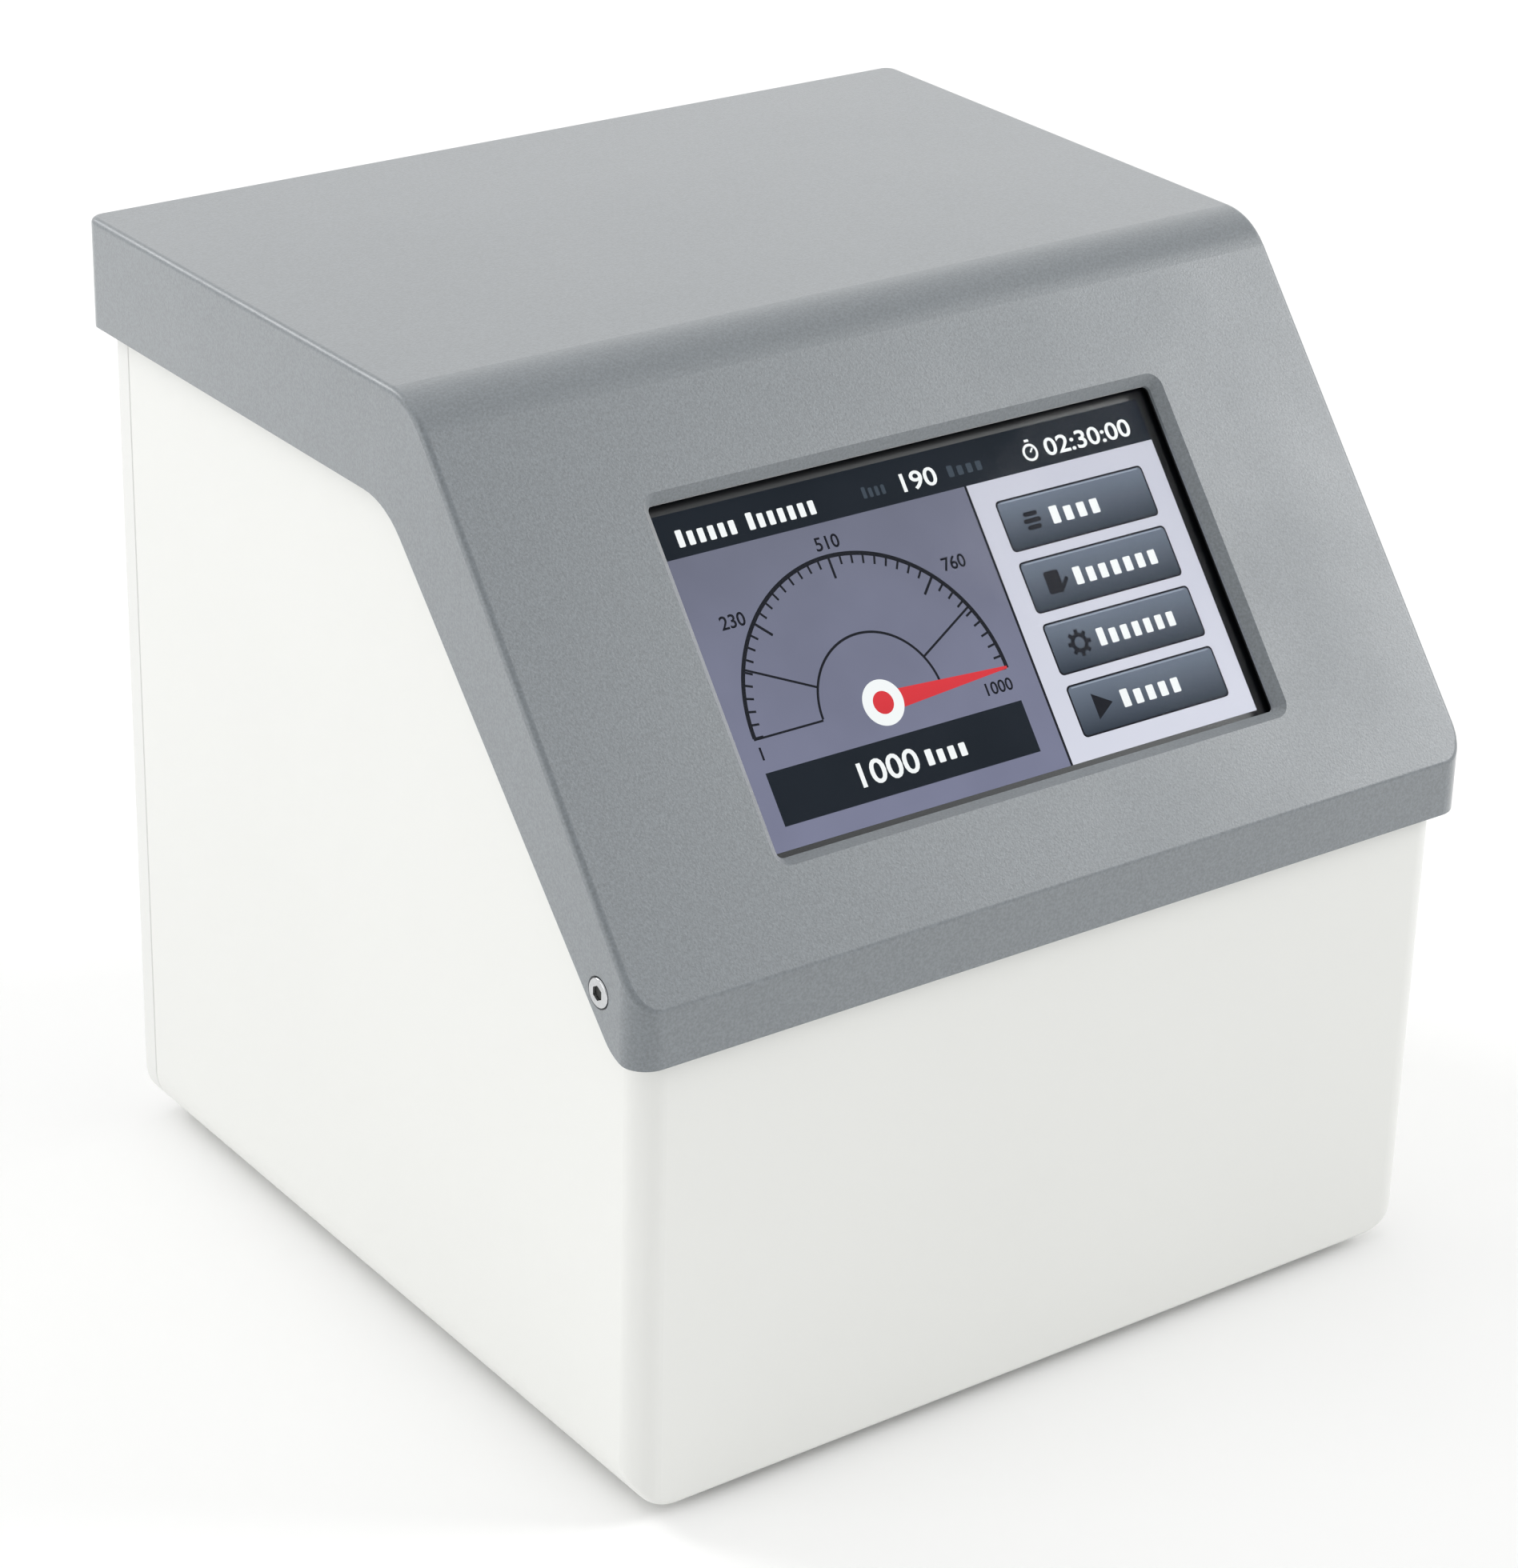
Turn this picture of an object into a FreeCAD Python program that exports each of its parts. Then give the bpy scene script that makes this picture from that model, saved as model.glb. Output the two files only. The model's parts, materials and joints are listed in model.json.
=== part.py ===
"""Benchtop vacuum controller with a sloping touch display, as a parametric FreeCAD document.

Row frame: X to the right, Y to the back, Z up, origin on the floor under the middle of the
bounding box. Every size lives in the spreadsheet "dims", in millimetres and degrees, and each
sub-part is bound to it by expressions.
"""

import FreeCAD, Part
import math
import os

import Sketcher

DIMENSIONS = [
    # alias, value, meaning
    ("overall_depth", 208.0, "hood front to hose nozzle tips"),
    ("hood_width", 190.0, "hood, across"),
    ("hood_depth", 186.0, "hood, front to back"),
    ("hood_top", 193.0, "top of the hood above the floor"),
    ("lip_bottom", 94.6, "lower edge of the hood's front lip"),
    ("lip_top", 105.7, "where the sloping face starts"),
    ("slope_angle", 51.07, "sloping face from horizontal"),
    ("hood_wall", 2.5, "hood wall thickness"),
    ("hood_bend", 14.0, "outer radius between slope and top"),
    ("hood_front_corner", 5.3, "vertical front corners of the hood"),
    ("hood_back_corner", 3.0, "vertical back corners of the hood"),
    ("hood_edge", 1.2, "rounding of the hood's upper edges"),
    ("flange_bottom", 171.4, "lower edge of the side flanges"),
    ("flange_angle", 46.9, "lower edge of the flanges beside the slope"),
    ("flange_start", 7.0, "flange edge meets the lip this far behind the front"),
    ("flange_bend", 16.0, "radius in the flange's lower edge"),
    ("flange_toe", 9.0, "radius where the flange edge meets the lip"),
    ("window_width", 113.6, "display opening, inner edge"),
    ("window_height", 65.6, "display opening, inner edge, along the slope"),
    ("window_centre", 51.9, "centre of the opening above the lip, along the slope"),
    ("window_corner", 1.2, "corner radius of the opening"),
    ("window_bevel", 1.8, "bevel around the opening"),
    ("body_inset", 3.0, "tub face behind the hood face"),
    ("foot_height", 2.5, "gap under the tub"),
    ("tub_wall", 3.0, "tub wall thickness"),
    ("tub_back", 72.5, "rear edge of the tub"),
    ("tub_top", 186.5, "top edge of the tub's side walls"),
    ("tub_corner", 5.5, "vertical front corners of the tub"),
    ("tub_keel", 9.5, "rounding along the lower side edges"),
    ("tub_front_edge", 1.2, "rounding of the lower front edge"),
    ("corner_step", 0.01, "corner arcs start this far outside the sides, clear of the keel"),
    ("tub_drop", 6.5, "tub edge below the sloping face, square to it"),
    ("panel_thick", 4.5, "rear panel thickness"),
    ("panel_seam", 0.5, "chamfer that leaves a groove between the tub and the panel"),
    ("screw_side_y", 11.7, "hood side screw behind the front"),
    ("screw_side_z", 105.5, "hood side screw above the floor"),
    ("screw_back_x", 70.0, "hood back screws from the middle"),
    ("screw_back_z", 179.5, "hood back screws above the floor"),
    ("screw_head", 2.75, "low cap head radius"),
    ("screw_head_high", 1.65, "low cap head height"),
    ("screw_hex", 2.5, "hexagon socket across flats"),
    ("screw_recess", 1.4, "recess for a side screw's head"),
    ("screw_shank", 1.5, "M3 screw radius"),
    ("screw_hole", 1.7, "M3 clearance hole radius"),
    ("insert_radius", 2.3, "threaded insert outer radius"),
    ("insert_long", 5.0, "threaded insert length"),
    ("boss_radius", 4.2, "screw boss radius"),
    ("gasket_thick", 0.8, "foam gasket behind the opening"),
    ("glass_thick", 1.8, "touch panel thickness"),
    ("lcd_width", 120.8, "display module, across"),
    ("lcd_height", 75.8, "display module, along the slope"),
    ("lcd_thick", 4.2, "display module thickness"),
    ("bracket_thick", 1.2, "display bracket sheet"),
    ("post_x", 66.0, "display bracket posts from the middle"),
    ("post_v", 26.0, "display bracket posts from the opening's centre"),
    ("post_radius", 3.4, "display bracket post radius"),
    ("standoff_radius", 2.5, "board standoff radius"),
    ("standoff_high", 5.0, "board standoff height"),
    ("board_thick", 1.6, "circuit board thickness"),
    ("chassis_z", 12.0, "underside of the chassis plate"),
    ("chassis_thick", 1.5, "chassis plate thickness"),
    ("main_board_x", -38.0, "middle of the main board"),
    ("main_board_wide", 84.0, "main board, across"),
    ("supply_x", 45.0, "middle of the power supply board"),
    ("supply_wide", 62.0, "power supply board, across"),
    ("board_front", -66.0, "front edge of both boards"),
    ("board_back", 34.0, "back edge of both boards"),
    ("block_left", -78.0, "manifold block, left face"),
    ("block_right", 6.0, "manifold block, right face"),
    ("block_deep", 24.0, "manifold block, front to back"),
    ("block_low", 118.0, "manifold block, underside"),
    ("block_high", 32.0, "manifold block height"),
    ("port_z", 134.0, "hose nozzles above the floor"),
    ("system_x", -62.0, "hose nozzle to the vessel"),
    ("pump_x", -30.0, "hose nozzle to the pump"),
    ("vent_x", -6.0, "vent nozzle"),
    ("valve_x", -46.0, "vacuum valve"),
    ("stem_radius", 5.0, "hose nozzle land"),
    ("bore_radius", 2.4, "hose nozzle bore"),
    ("barb_depth", 0.7, "groove between the hose nozzle's barbs"),
    ("inlet_x", 46.0, "mains inlet centre"),
    ("inlet_z", 44.0, "mains inlet centre"),
    ("inlet_deep", 22.0, "inlet body behind the panel face"),
    ("flange_thick", 2.5, "inlet flange"),
    ("switch_x", 8.0, "mains switch centre"),
    ("switch_z", 44.0, "mains switch centre"),
    ("rocker_tilt", 12.0, "rocker from its level position"),
    ("guide_radius", 5.5, "valve guide tube, outside"),
    ("guide_bore", 4.55, "valve guide tube, inside"),
    ("guide_long", 34.0, "valve guide tube length"),
    ("plunger_radius", 4.5, "valve plunger"),
    ("plunger_long", 18.0, "valve plunger length"),
    ("valve_travel", 1.2, "valve plunger travel"),
    ("seal_thick", 1.6, "valve seal pad"),
    ("coil_half", 13.0, "half the valve coil's side"),
    ("socket_z", 100.0, "signal sockets above the floor"),
    ("socket_x", 30.0, "left signal socket"),
    ("socket_pitch", 26.0, "signal socket spacing"),
    ("socket_radius", 6.0, "signal socket thread"),
    ("wire_radius", 1.1, "insulated wire"),
]

X_AXIS = FreeCAD.Vector(1, 0, 0)
Y_AXIS = FreeCAD.Vector(0, 1, 0)
Z_AXIS = FreeCAD.Vector(0, 0, 1)

doc = FreeCAD.newDocument("vacuum_controller")
sheet = doc.addObject("Spreadsheet::Sheet", "dims")
for row, (alias, number, meaning) in enumerate(DIMENSIONS, start=1):
    sheet.set(f"A{row}", meaning)
    sheet.set(f"B{row}", str(number))
    sheet.setAlias(f"B{row}", alias)
doc.recompute()

# Places used by many parts, as expressions of the sheet.
FRONT = "(-dims.overall_depth / 2)"
HOOD_BACK = f"({FRONT} + dims.hood_depth)"
SIDE = "(dims.hood_width / 2)"
TUB_SIDE = f"({SIDE} - dims.body_inset)"
TUB_FRONT = f"({FRONT} + dims.body_inset)"
PANEL_FACE = "(dims.tub_back + dims.panel_thick)"
SLOPE_RUN = "((dims.hood_top - dims.lip_top) / tan(dims.slope_angle))"
BEND_Y = f"({FRONT} + {SLOPE_RUN})"
CHASSIS_TOP = "(dims.chassis_z + dims.chassis_thick)"
BOARD_LOW = f"({CHASSIS_TOP} + dims.standoff_high)"
BOARD_TOP = f"({BOARD_LOW} + dims.board_thick)"
BLOCK_FACE = "(dims.tub_back - dims.block_deep)"

nodes = []

# Groups whose pieces are made in several places, such as identical screws.
shared = {
    "inner_screws": [],
    "rear_panel_screws": [],
    "board_standoffs": [],
    "board_connectors": [],
    "mains_leads": [],
    "drive_leads": [],
    "signal_leads": [],
}


def value(text):
    """The number that an expression of the sheet gives."""
    return float(sheet.evalExpression(str(text)))


def bind(item, prop, text):
    """Bind one property to an expression of the sheet."""
    item.setExpression(prop, str(text))


def place(item, where, axis=Z_AXIS, angle="0"):
    """Place an object at three expressions, turned about an axis."""
    item.Placement = FreeCAD.Placement(
        FreeCAD.Vector(*[value(text) for text in where]), FreeCAD.Rotation(axis, value(angle))
    )
    for letter, text in zip("xyz", where):
        bind(item, f"Placement.Base.{letter}", text)
    if value(angle):
        bind(item, "Placement.Rotation.Angle", angle)
    return item


def node(item, label):
    """Register an object as a sub-part under the name of its file."""
    item.Label = label
    nodes.append(item)
    return item


# ---------------------------------------------------------------- sketch-based parts


def sketch_on(body, role, name, height="0"):
    """A sketch on one of the body's own origin planes, moved along its normal."""
    plane = [item for item in body.Origin.OriginFeatures if item.Role == role][0]
    sketch = body.newObject("Sketcher::SketchObject", name)
    sketch.AttachmentSupport = [(plane, "")]
    sketch.MapMode = "FlatFace"
    bind(sketch, "AttachmentOffset.Base.z", height)
    return sketch


def named_constraint(sketch, name, text, *args):
    """A driving dimension of a sketch, bound to an expression."""
    index = sketch.addConstraint(Sketcher.Constraint(*args, value(text)))
    sketch.renameConstraint(index, name)
    bind(sketch, f"Constraints.{name}", text)


def rounding(before, point, after, radius):
    """Arc that rounds a corner, counter-clockwise, with its tangent points towards both neighbours."""
    back = (before - point).normalize()
    ahead = (after - point).normalize()
    reach = radius / math.tan(back.getAngle(ahead) / 2)
    centre = point + (back + ahead).normalize() * math.hypot(reach, radius)
    first, last = point + back * reach, point + ahead * reach
    angles = [math.atan2(spot.y - centre.y, spot.x - centre.x) for spot in (first, last)]
    clockwise = (first - centre).cross(last - centre).z < 0
    start, end = reversed(angles) if clockwise else angles
    if end < start:
        end += 2 * math.pi
    arc = Part.ArcOfCircle(Part.Circle(centre, Z_AXIS, radius), start, end)
    return arc, first, last, clockwise


def profile(sketch, corners, tag):
    """A closed outline through corners (x, y, radius), with arcs where the radius isn't 0."""
    points = [FreeCAD.Vector(value(x), value(y), 0) for x, y, _ in corners]
    radii = [value(radius) for _, _, radius in corners]
    count = len(corners)
    arcs = [
        rounding(points[i - 1], points[i], points[(i + 1) % count], radii[i]) if radii[i] else None
        for i in range(count)
    ]
    arrive = [arc[1] if arc else point for arc, point in zip(arcs, points)]
    leave = [arc[2] if arc else point for arc, point in zip(arcs, points)]
    lines = [
        sketch.addGeometry(Part.LineSegment(leave[i], arrive[(i + 1) % count])) for i in range(count)
    ]
    for i, (x, y, radius) in enumerate(corners):
        before, after = lines[i - 1], lines[i]
        if arcs[i] is None:
            sketch.addConstraint(Sketcher.Constraint("Coincident", before, 2, after, 1))
            named_constraint(sketch, f"{tag}_x{i}", x, "DistanceX", after, 1)
            named_constraint(sketch, f"{tag}_y{i}", y, "DistanceY", after, 1)
            continue
        corner = sketch.addGeometry(Part.Point(points[i]), True)
        named_constraint(sketch, f"{tag}_x{i}", x, "DistanceX", corner, 1)
        named_constraint(sketch, f"{tag}_y{i}", y, "DistanceY", corner, 1)
        sketch.addConstraint(Sketcher.Constraint("PointOnObject", corner, 1, before))
        sketch.addConstraint(Sketcher.Constraint("PointOnObject", corner, 1, after))
        arc = sketch.addGeometry(arcs[i][0])
        first, second = (2, 1) if arcs[i][3] else (1, 2)
        sketch.addConstraint(Sketcher.Constraint("Tangent", before, 2, arc, first))
        sketch.addConstraint(Sketcher.Constraint("Tangent", arc, second, after, 1))
        named_constraint(sketch, f"{tag}_r{i}", radius, "Radius", arc)


def circle(sketch, x, y, radius, tag):
    """A circle bound at its centre and radius."""
    index = sketch.addGeometry(
        Part.Circle(FreeCAD.Vector(value(x), value(y), 0), Z_AXIS, value(radius))
    )
    named_constraint(sketch, f"{tag}_x", x, "DistanceX", index, 3)
    named_constraint(sketch, f"{tag}_y", y, "DistanceY", index, 3)
    named_constraint(sketch, f"{tag}_r", radius, "Radius", index)


def rounded(x0, y0, x1, y1, radius="0"):
    """Corners of an upright rectangle for profile()."""
    return [(x0, y0, radius), (x1, y0, radius), (x1, y1, radius), (x0, y1, radius)]


def add_feature(body, kind, name, sketch, length, reverse=False, midplane=False):
    """A pad or pocket of a sketch, with its length bound; a cut has to take material away."""
    doc.recompute()
    before = body.Shape.Volume if not body.Shape.isNull() else 0.0
    feature = body.newObject(f"PartDesign::{kind}", name)
    feature.Profile = sketch
    bind(feature, "Length", length)
    feature.Reversed = reverse
    feature.Midplane = midplane
    body.Tip = feature
    recompute(feature)
    grown = body.Shape.Volume - before
    if (kind == "Pocket") == (grown > -1e-6):
        raise ValueError(f"{name} points the wrong way: volume changed by {grown:.3f}")
    return feature


def new_body(name):
    """An empty PartDesign body registered as a sub-part."""
    return node(doc.addObject("PartDesign::Body", f"body_{name}"), name)


def plate(name, outline, thick, low="0", holes=(), windows=()):
    """A flat plate in its own XY plane: outer outline, round holes and inner outlines."""
    body = new_body(name)
    sketch = sketch_on(body, "XY_Plane", f"{name}_outline", low)
    profile(sketch, outline, "outer")
    for i, (x, y, radius) in enumerate(holes):
        circle(sketch, x, y, radius, f"hole{i}")
    for i, corners in enumerate(windows):
        profile(sketch, corners, f"window{i}")
    add_feature(body, "Pad", f"{name}_pad", sketch, thick)
    return body


def edges_where(shape, test):
    """Names of the edges whose middle point and shape pass the test."""
    names = []
    for index, edge in enumerate(shape.Edges, start=1):
        middle = edge.valueAt((edge.FirstParameter + edge.LastParameter) / 2)
        if test(edge, middle):
            names.append(f"Edge{index}")
    return names


def faces_where(shape, test):
    """Names of the faces whose centre and normal pass the test."""
    names = []
    for index, face in enumerate(shape.Faces, start=1):
        if test(face, face.CenterOfMass, face.normalAt(0, 0)):
            names.append(f"Face{index}")
    return names


def dress(body, kind, name, test, prop, size):
    """A fillet or chamfer on the tip's edges that pass the test."""
    base = body.Tip
    names = edges_where(base.Shape, test)
    if not names:
        raise ValueError(f"{name} found no edge")
    feature = body.newObject(f"PartDesign::{kind}", name)
    feature.Base = (base, names)
    bind(feature, prop, size)
    body.Tip = feature
    recompute(feature)
    return feature


def recompute(feature):
    """Recompute the document and stop at once if the newest feature failed."""
    doc.recompute()
    if "Invalid" in feature.State or not feature.Shape.isValid():
        raise ValueError(f"{feature.Name} failed: {feature.State}")


def along_x(edge):
    """True for a straight edge parallel to X."""
    span = edge.Vertexes[-1].Point - edge.Vertexes[0].Point
    return span.Length > 1e-6 and abs(span.x) > 0.999 * span.Length


# ---------------------------------------------------------------- primitive-based parts

# The turn that lays a primitive's own +Z along each direction.
TURNS = {
    "x": (Y_AXIS, "90"),
    "-x": (Y_AXIS, "-90"),
    "y": (X_AXIS, "-90"),
    "-y": (X_AXIS, "90"),
    "z": (Z_AXIS, "0"),
    "-z": (X_AXIS, "180"),
}

def cylinder(name, where, radius, high, axis="z"):
    """A cylinder from a base point along +X, +Y, -Y or +Z."""
    item = doc.addObject("Part::Cylinder", name)
    bind(item, "Radius", radius)
    bind(item, "Height", high)
    return place(item, where, *TURNS[axis])


def box(name, low, size):
    """A box from its lowest corner."""
    item = doc.addObject("Part::Box", name)
    for prop, text in zip(("Length", "Width", "Height"), size):
        bind(item, prop, text)
    return place(item, low)


def hexagon(name, where, across, high, axis="z"):
    """A hexagonal prism from a base point, by its width across flats."""
    item = doc.addObject("Part::Prism", name)
    item.Polygon = 6
    bind(item, "Circumradius", f"({across}) / 2 / cos(30)")
    bind(item, "Height", high)
    return place(item, where, *TURNS[axis])


def cut(name, base, tools):
    """Base less its tools."""
    result = base
    for index, tool in enumerate(tools):
        step = doc.addObject("Part::Cut", f"{name}_cut{index}")
        step.Base = result
        step.Tool = tool
        result = step
    return result


def fuse(name, items):
    """Several solids made one."""
    result = doc.addObject("Part::MultiFuse", f"{name}_fuse")
    result.Shapes = items
    return result


def group(name, items):
    """Separate solids kept together in one node."""
    result = doc.addObject("Part::Compound", f"{name}_group")
    result.Links = items
    return node(result, name)


def moved(text, step):
    """An expression with a number or an expression added."""
    return f"({text}) + ({step})"


def along(where, axis, step):
    """A point moved along an axis name."""
    index = "xyz".index(axis[-1])
    sign = "-" if axis.startswith("-") else ""
    point = list(where)
    point[index] = moved(point[index], f"{sign}({step})")
    return tuple(point)


def opposite(axis):
    """The axis name pointing the other way."""
    return axis[1:] if axis.startswith("-") else f"-{axis}"


def screw(name, seat, axis, length):
    """A low-head screw: its head stands on the seat along axis, its shank goes the other way."""
    high = "dims.screw_head_high"
    cap = cylinder(f"{name}_head", seat, "dims.screw_head", high, axis)
    socket = hexagon(f"{name}_socket", along(seat, axis, f"{high} * 0.15"), "dims.screw_hex", high, axis)
    shank = cylinder(f"{name}_shank", along(seat, axis, f"-({length})"), "dims.screw_shank", length, axis)
    rounded_cap = doc.addObject("Part::Fillet", f"{name}_cap")
    rounded_cap.Base = cap
    doc.recompute()
    turn_axis, angle = TURNS[axis]
    outward = FreeCAD.Rotation(turn_axis, value(angle)).multVec(Z_AXIS)
    top = FreeCAD.Vector(*[value(text) for text in seat]) + outward * value(high)
    rim = [
        index
        for index, edge in enumerate(cap.Shape.Edges, start=1)
        if len(edge.Vertexes) == 1 and abs((edge.CenterOfMass - top).Length) < 1e-3
    ]
    rounded_cap.Edges = [(rim[0], 0.35, 0.35)]
    return cut(name, fuse(name, [rounded_cap, shank]), [socket])


def swept(name, points, bend, outline, area):
    """A lead along straight runs joined by tangent arcs; its volume is checked.

    outline(start, direction) gives the closed section at the first point.
    """
    spots = [FreeCAD.Vector(*[value(text) for text in point]) for point in points]
    turn = value(bend)
    edges = []
    start = spots[0]
    for i in range(1, len(spots) - 1):
        back = (spots[i - 1] - spots[i]).normalize()
        ahead = (spots[i + 1] - spots[i]).normalize()
        reach = turn / math.tan(back.getAngle(ahead) / 2)
        first = spots[i] + back * reach
        last = spots[i] + ahead * reach
        middle = spots[i] + (back + ahead).normalize() * ((reach**2 + turn**2) ** 0.5 - turn)
        if start.distanceToPoint(first) > 1e-6:
            edges.append(Part.LineSegment(start, first).toShape())
        edges.append(Part.Arc(first, middle, last).toShape())
        start = last
    edges.append(Part.LineSegment(start, spots[-1]).toShape())
    path = Part.Wire(edges)
    solid = path.makePipeShell([outline(spots[0], spots[1] - spots[0])], True, False)
    expected = area * path.Length
    if abs(solid.Volume - expected) > 0.02 * expected:
        raise ValueError(f"{name} has volume {solid.Volume:.1f}, not {expected:.1f}")
    item = doc.addObject("Part::Feature", name)
    item.Shape = solid
    item.Placement = FreeCAD.Placement()
    return item


def wire(name, points, bend="4"):
    """A round insulated wire."""
    radius = value("dims.wire_radius")

    def ring(start, direction):
        return Part.Wire(Part.Circle(start, direction, radius).toShape())

    return swept(name, points, bend, ring, math.pi * radius**2)


# ---------------------------------------------------------------- hood


def make_hood():
    """Grey hood: top, sloping face with the display opening, front lip and side flanges."""
    body = new_body("hood_cover")
    plan = sketch_on(body, "XY_Plane", "hood_plan", "dims.lip_bottom")
    corners = [
        (f"-{SIDE}", FRONT, "dims.hood_front_corner"),
        (SIDE, FRONT, "dims.hood_front_corner"),
        (SIDE, HOOD_BACK, "dims.hood_back_corner"),
        (f"-{SIDE}", HOOD_BACK, "dims.hood_back_corner"),
    ]
    profile(plan, corners, "plan")
    add_feature(body, "Pad", "hood_block", plan, "dims.hood_top - dims.lip_bottom")

    wedge = sketch_on(body, "YZ_Plane", "hood_wedge")
    front_clear = f"{FRONT} - 5"
    corners = [
        (FRONT, "dims.lip_top", "0"),
        (BEND_Y, "dims.hood_top", "0"),
        (BEND_Y, "dims.hood_top + 5", "0"),
        (front_clear, "dims.hood_top + 5", "0"),
        (front_clear, "dims.lip_top", "0"),
    ]
    profile(wedge, corners, "wedge")
    add_feature(body, "Pocket", "hood_slope", wedge, "dims.hood_width + 10", midplane=True)

    bend_y, top = value(BEND_Y), value("dims.hood_top")
    dress(
        body, "Fillet", "hood_bend_round",
        lambda edge, mid: along_x(edge) and abs(mid.y - bend_y) < 0.01 and abs(mid.z - top) < 0.01,
        "Radius", "dims.hood_bend",
    )

    base = body.Tip
    lip_bottom = value("dims.lip_bottom")
    shell = body.newObject("PartDesign::Thickness", "hood_shell")
    shell.Base = (base, faces_where(base.Shape, lambda face, mid, normal: abs(mid.z - lip_bottom) < 0.01))
    bind(shell, "Value", "dims.hood_wall")
    shell.Mode = 0
    shell.Join = 1
    shell.Reversed = True
    body.Tip = shell
    recompute(shell)

    under = sketch_on(body, "YZ_Plane", "hood_underside")
    toe_y = f"{FRONT} + dims.flange_start"
    knee_y = f"{toe_y} + (dims.flange_bottom - dims.lip_bottom) / tan(dims.flange_angle)"
    corners = [
        (toe_y, "dims.lip_bottom", "dims.flange_toe"),
        (knee_y, "dims.flange_bottom", "dims.flange_bend"),
        (f"{HOOD_BACK} + 5", "dims.flange_bottom", "0"),
        (f"{HOOD_BACK} + 5", "dims.lip_bottom - 5", "0"),
        (f"{FRONT} - 8", "dims.lip_bottom - 5", "0"),
        (f"{FRONT} - 8", "dims.lip_bottom", "0"),
    ]
    profile(under, corners, "under")
    add_feature(body, "Pocket", "hood_flanges", under, "dims.hood_width + 10", midplane=True)

    make_window(body)
    round_hood_edges(body)
    drill_hood(body)
    return body


def slope_sketch(body, name, depth="0"):
    """A sketch in the plane of the sloping face, y up the slope from the lip, sunk by depth."""
    sketch = sketch_on(body, "XY_Plane", name)
    sketch.AttachmentOffset = FreeCAD.Placement(
        FreeCAD.Vector(), FreeCAD.Rotation(X_AXIS, value("dims.slope_angle"))
    )
    bind(sketch, "AttachmentOffset.Rotation.Angle", "dims.slope_angle")
    bind(sketch, "AttachmentOffset.Base.y", f"{FRONT} + ({depth}) * sin(dims.slope_angle)")
    bind(sketch, "AttachmentOffset.Base.z", f"dims.lip_top - ({depth}) * cos(dims.slope_angle)")
    return sketch


def make_window(body):
    """Display opening with its bevel, and the four posts that carry the display bracket."""
    sketch = slope_sketch(body, "window_outline")
    outline = rounded(
        "-dims.window_width / 2",
        "dims.window_centre - dims.window_height / 2",
        "dims.window_width / 2",
        "dims.window_centre + dims.window_height / 2",
        "dims.window_corner",
    )
    profile(sketch, outline, "window")
    add_feature(body, "Pocket", "window_cut", sketch, "dims.hood_wall * 2")
    normal = FreeCAD.Rotation(X_AXIS, value("dims.slope_angle")).multVec(Z_AXIS)
    origin = FreeCAD.Vector(0, value(FRONT), value("dims.lip_top"))
    reach = value("dims.window_width") / 2 + 1

    def on_opening(edge, mid):
        inside = abs(mid.x) < reach and value("dims.lip_top") + 5 < mid.z < value("dims.hood_top") - 8
        return inside and abs((mid - origin).dot(normal)) < 0.01

    dress(body, "Chamfer", "window_bevel", on_opening, "Size", "dims.window_bevel")

    posts = slope_sketch(body, "bracket_posts", "dims.hood_wall - 0.5")
    for i, (x, v) in enumerate(post_places()):
        circle(posts, x, v, "dims.post_radius", f"post{i}")
    post_high = f"{STACK_DEPTH} - dims.hood_wall + 0.5"
    add_feature(body, "Pad", "bracket_post_pads", posts, post_high, reverse=True)
    pilots = slope_sketch(body, "post_pilots", "dims.hood_wall + 0.3")
    for i, (x, v) in enumerate(post_places()):
        circle(pilots, x, v, "dims.screw_shank", f"pilot{i}")
    add_feature(body, "Pocket", "post_pilot_holes", pilots, f"{STACK_DEPTH}")


def round_hood_edges(body):
    """Round the edges where the top, bend and slope meet the walls and the lip."""
    side, front, back = value(SIDE), value(FRONT), value(HOOD_BACK)
    top, lip_top = value("dims.hood_top"), value("dims.lip_top")
    r_front, r_back = value("dims.hood_front_corner"), value("dims.hood_back_corner")
    bend_y, bend = value(BEND_Y), value("dims.hood_bend")
    angle = FreeCAD.Rotation(X_AXIS, value("dims.slope_angle"))
    normal = angle.multVec(Z_AXIS)
    slope_origin = FreeCAD.Vector(0, front, lip_top)
    reach = bend * math.tan(math.radians(value("dims.slope_angle")) / 2)
    axis_y, axis_z = bend_y + reach, top - bend

    def on_roof(mid):
        if mid.z < lip_top - 0.01:
            return False
        flat = abs(mid.z - top) < 0.01
        sloping = abs((mid - slope_origin).dot(normal)) < 0.01
        curved = abs(((mid.y - axis_y) ** 2 + (mid.z - axis_z) ** 2) ** 0.5 - bend) < 0.01
        return flat or sloping or curved

    def on_outline(mid):
        dx = abs(mid.x) - (side - r_front)
        dy = (front + r_front) - mid.y
        if dx > 0 and dy > 0:
            return abs((dx**2 + dy**2) ** 0.5 - r_front) < 0.01
        dx = abs(mid.x) - (side - r_back)
        dy = mid.y - (back - r_back)
        if dx > 0 and dy > 0:
            return abs((dx**2 + dy**2) ** 0.5 - r_back) < 0.01
        return abs(abs(mid.x) - side) < 0.01 or abs(mid.y - front) < 0.01 or abs(mid.y - back) < 0.01

    dress(
        body, "Fillet", "hood_edge_round",
        lambda edge, mid: on_roof(mid) and on_outline(mid) and not is_upright(edge),
        "Radius", "dims.hood_edge",
    )


def is_upright(edge):
    """True for a straight edge parallel to Z."""
    span = edge.Vertexes[-1].Point - edge.Vertexes[0].Point
    return span.Length > 1e-6 and abs(span.z) > 0.999 * span.Length


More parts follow.
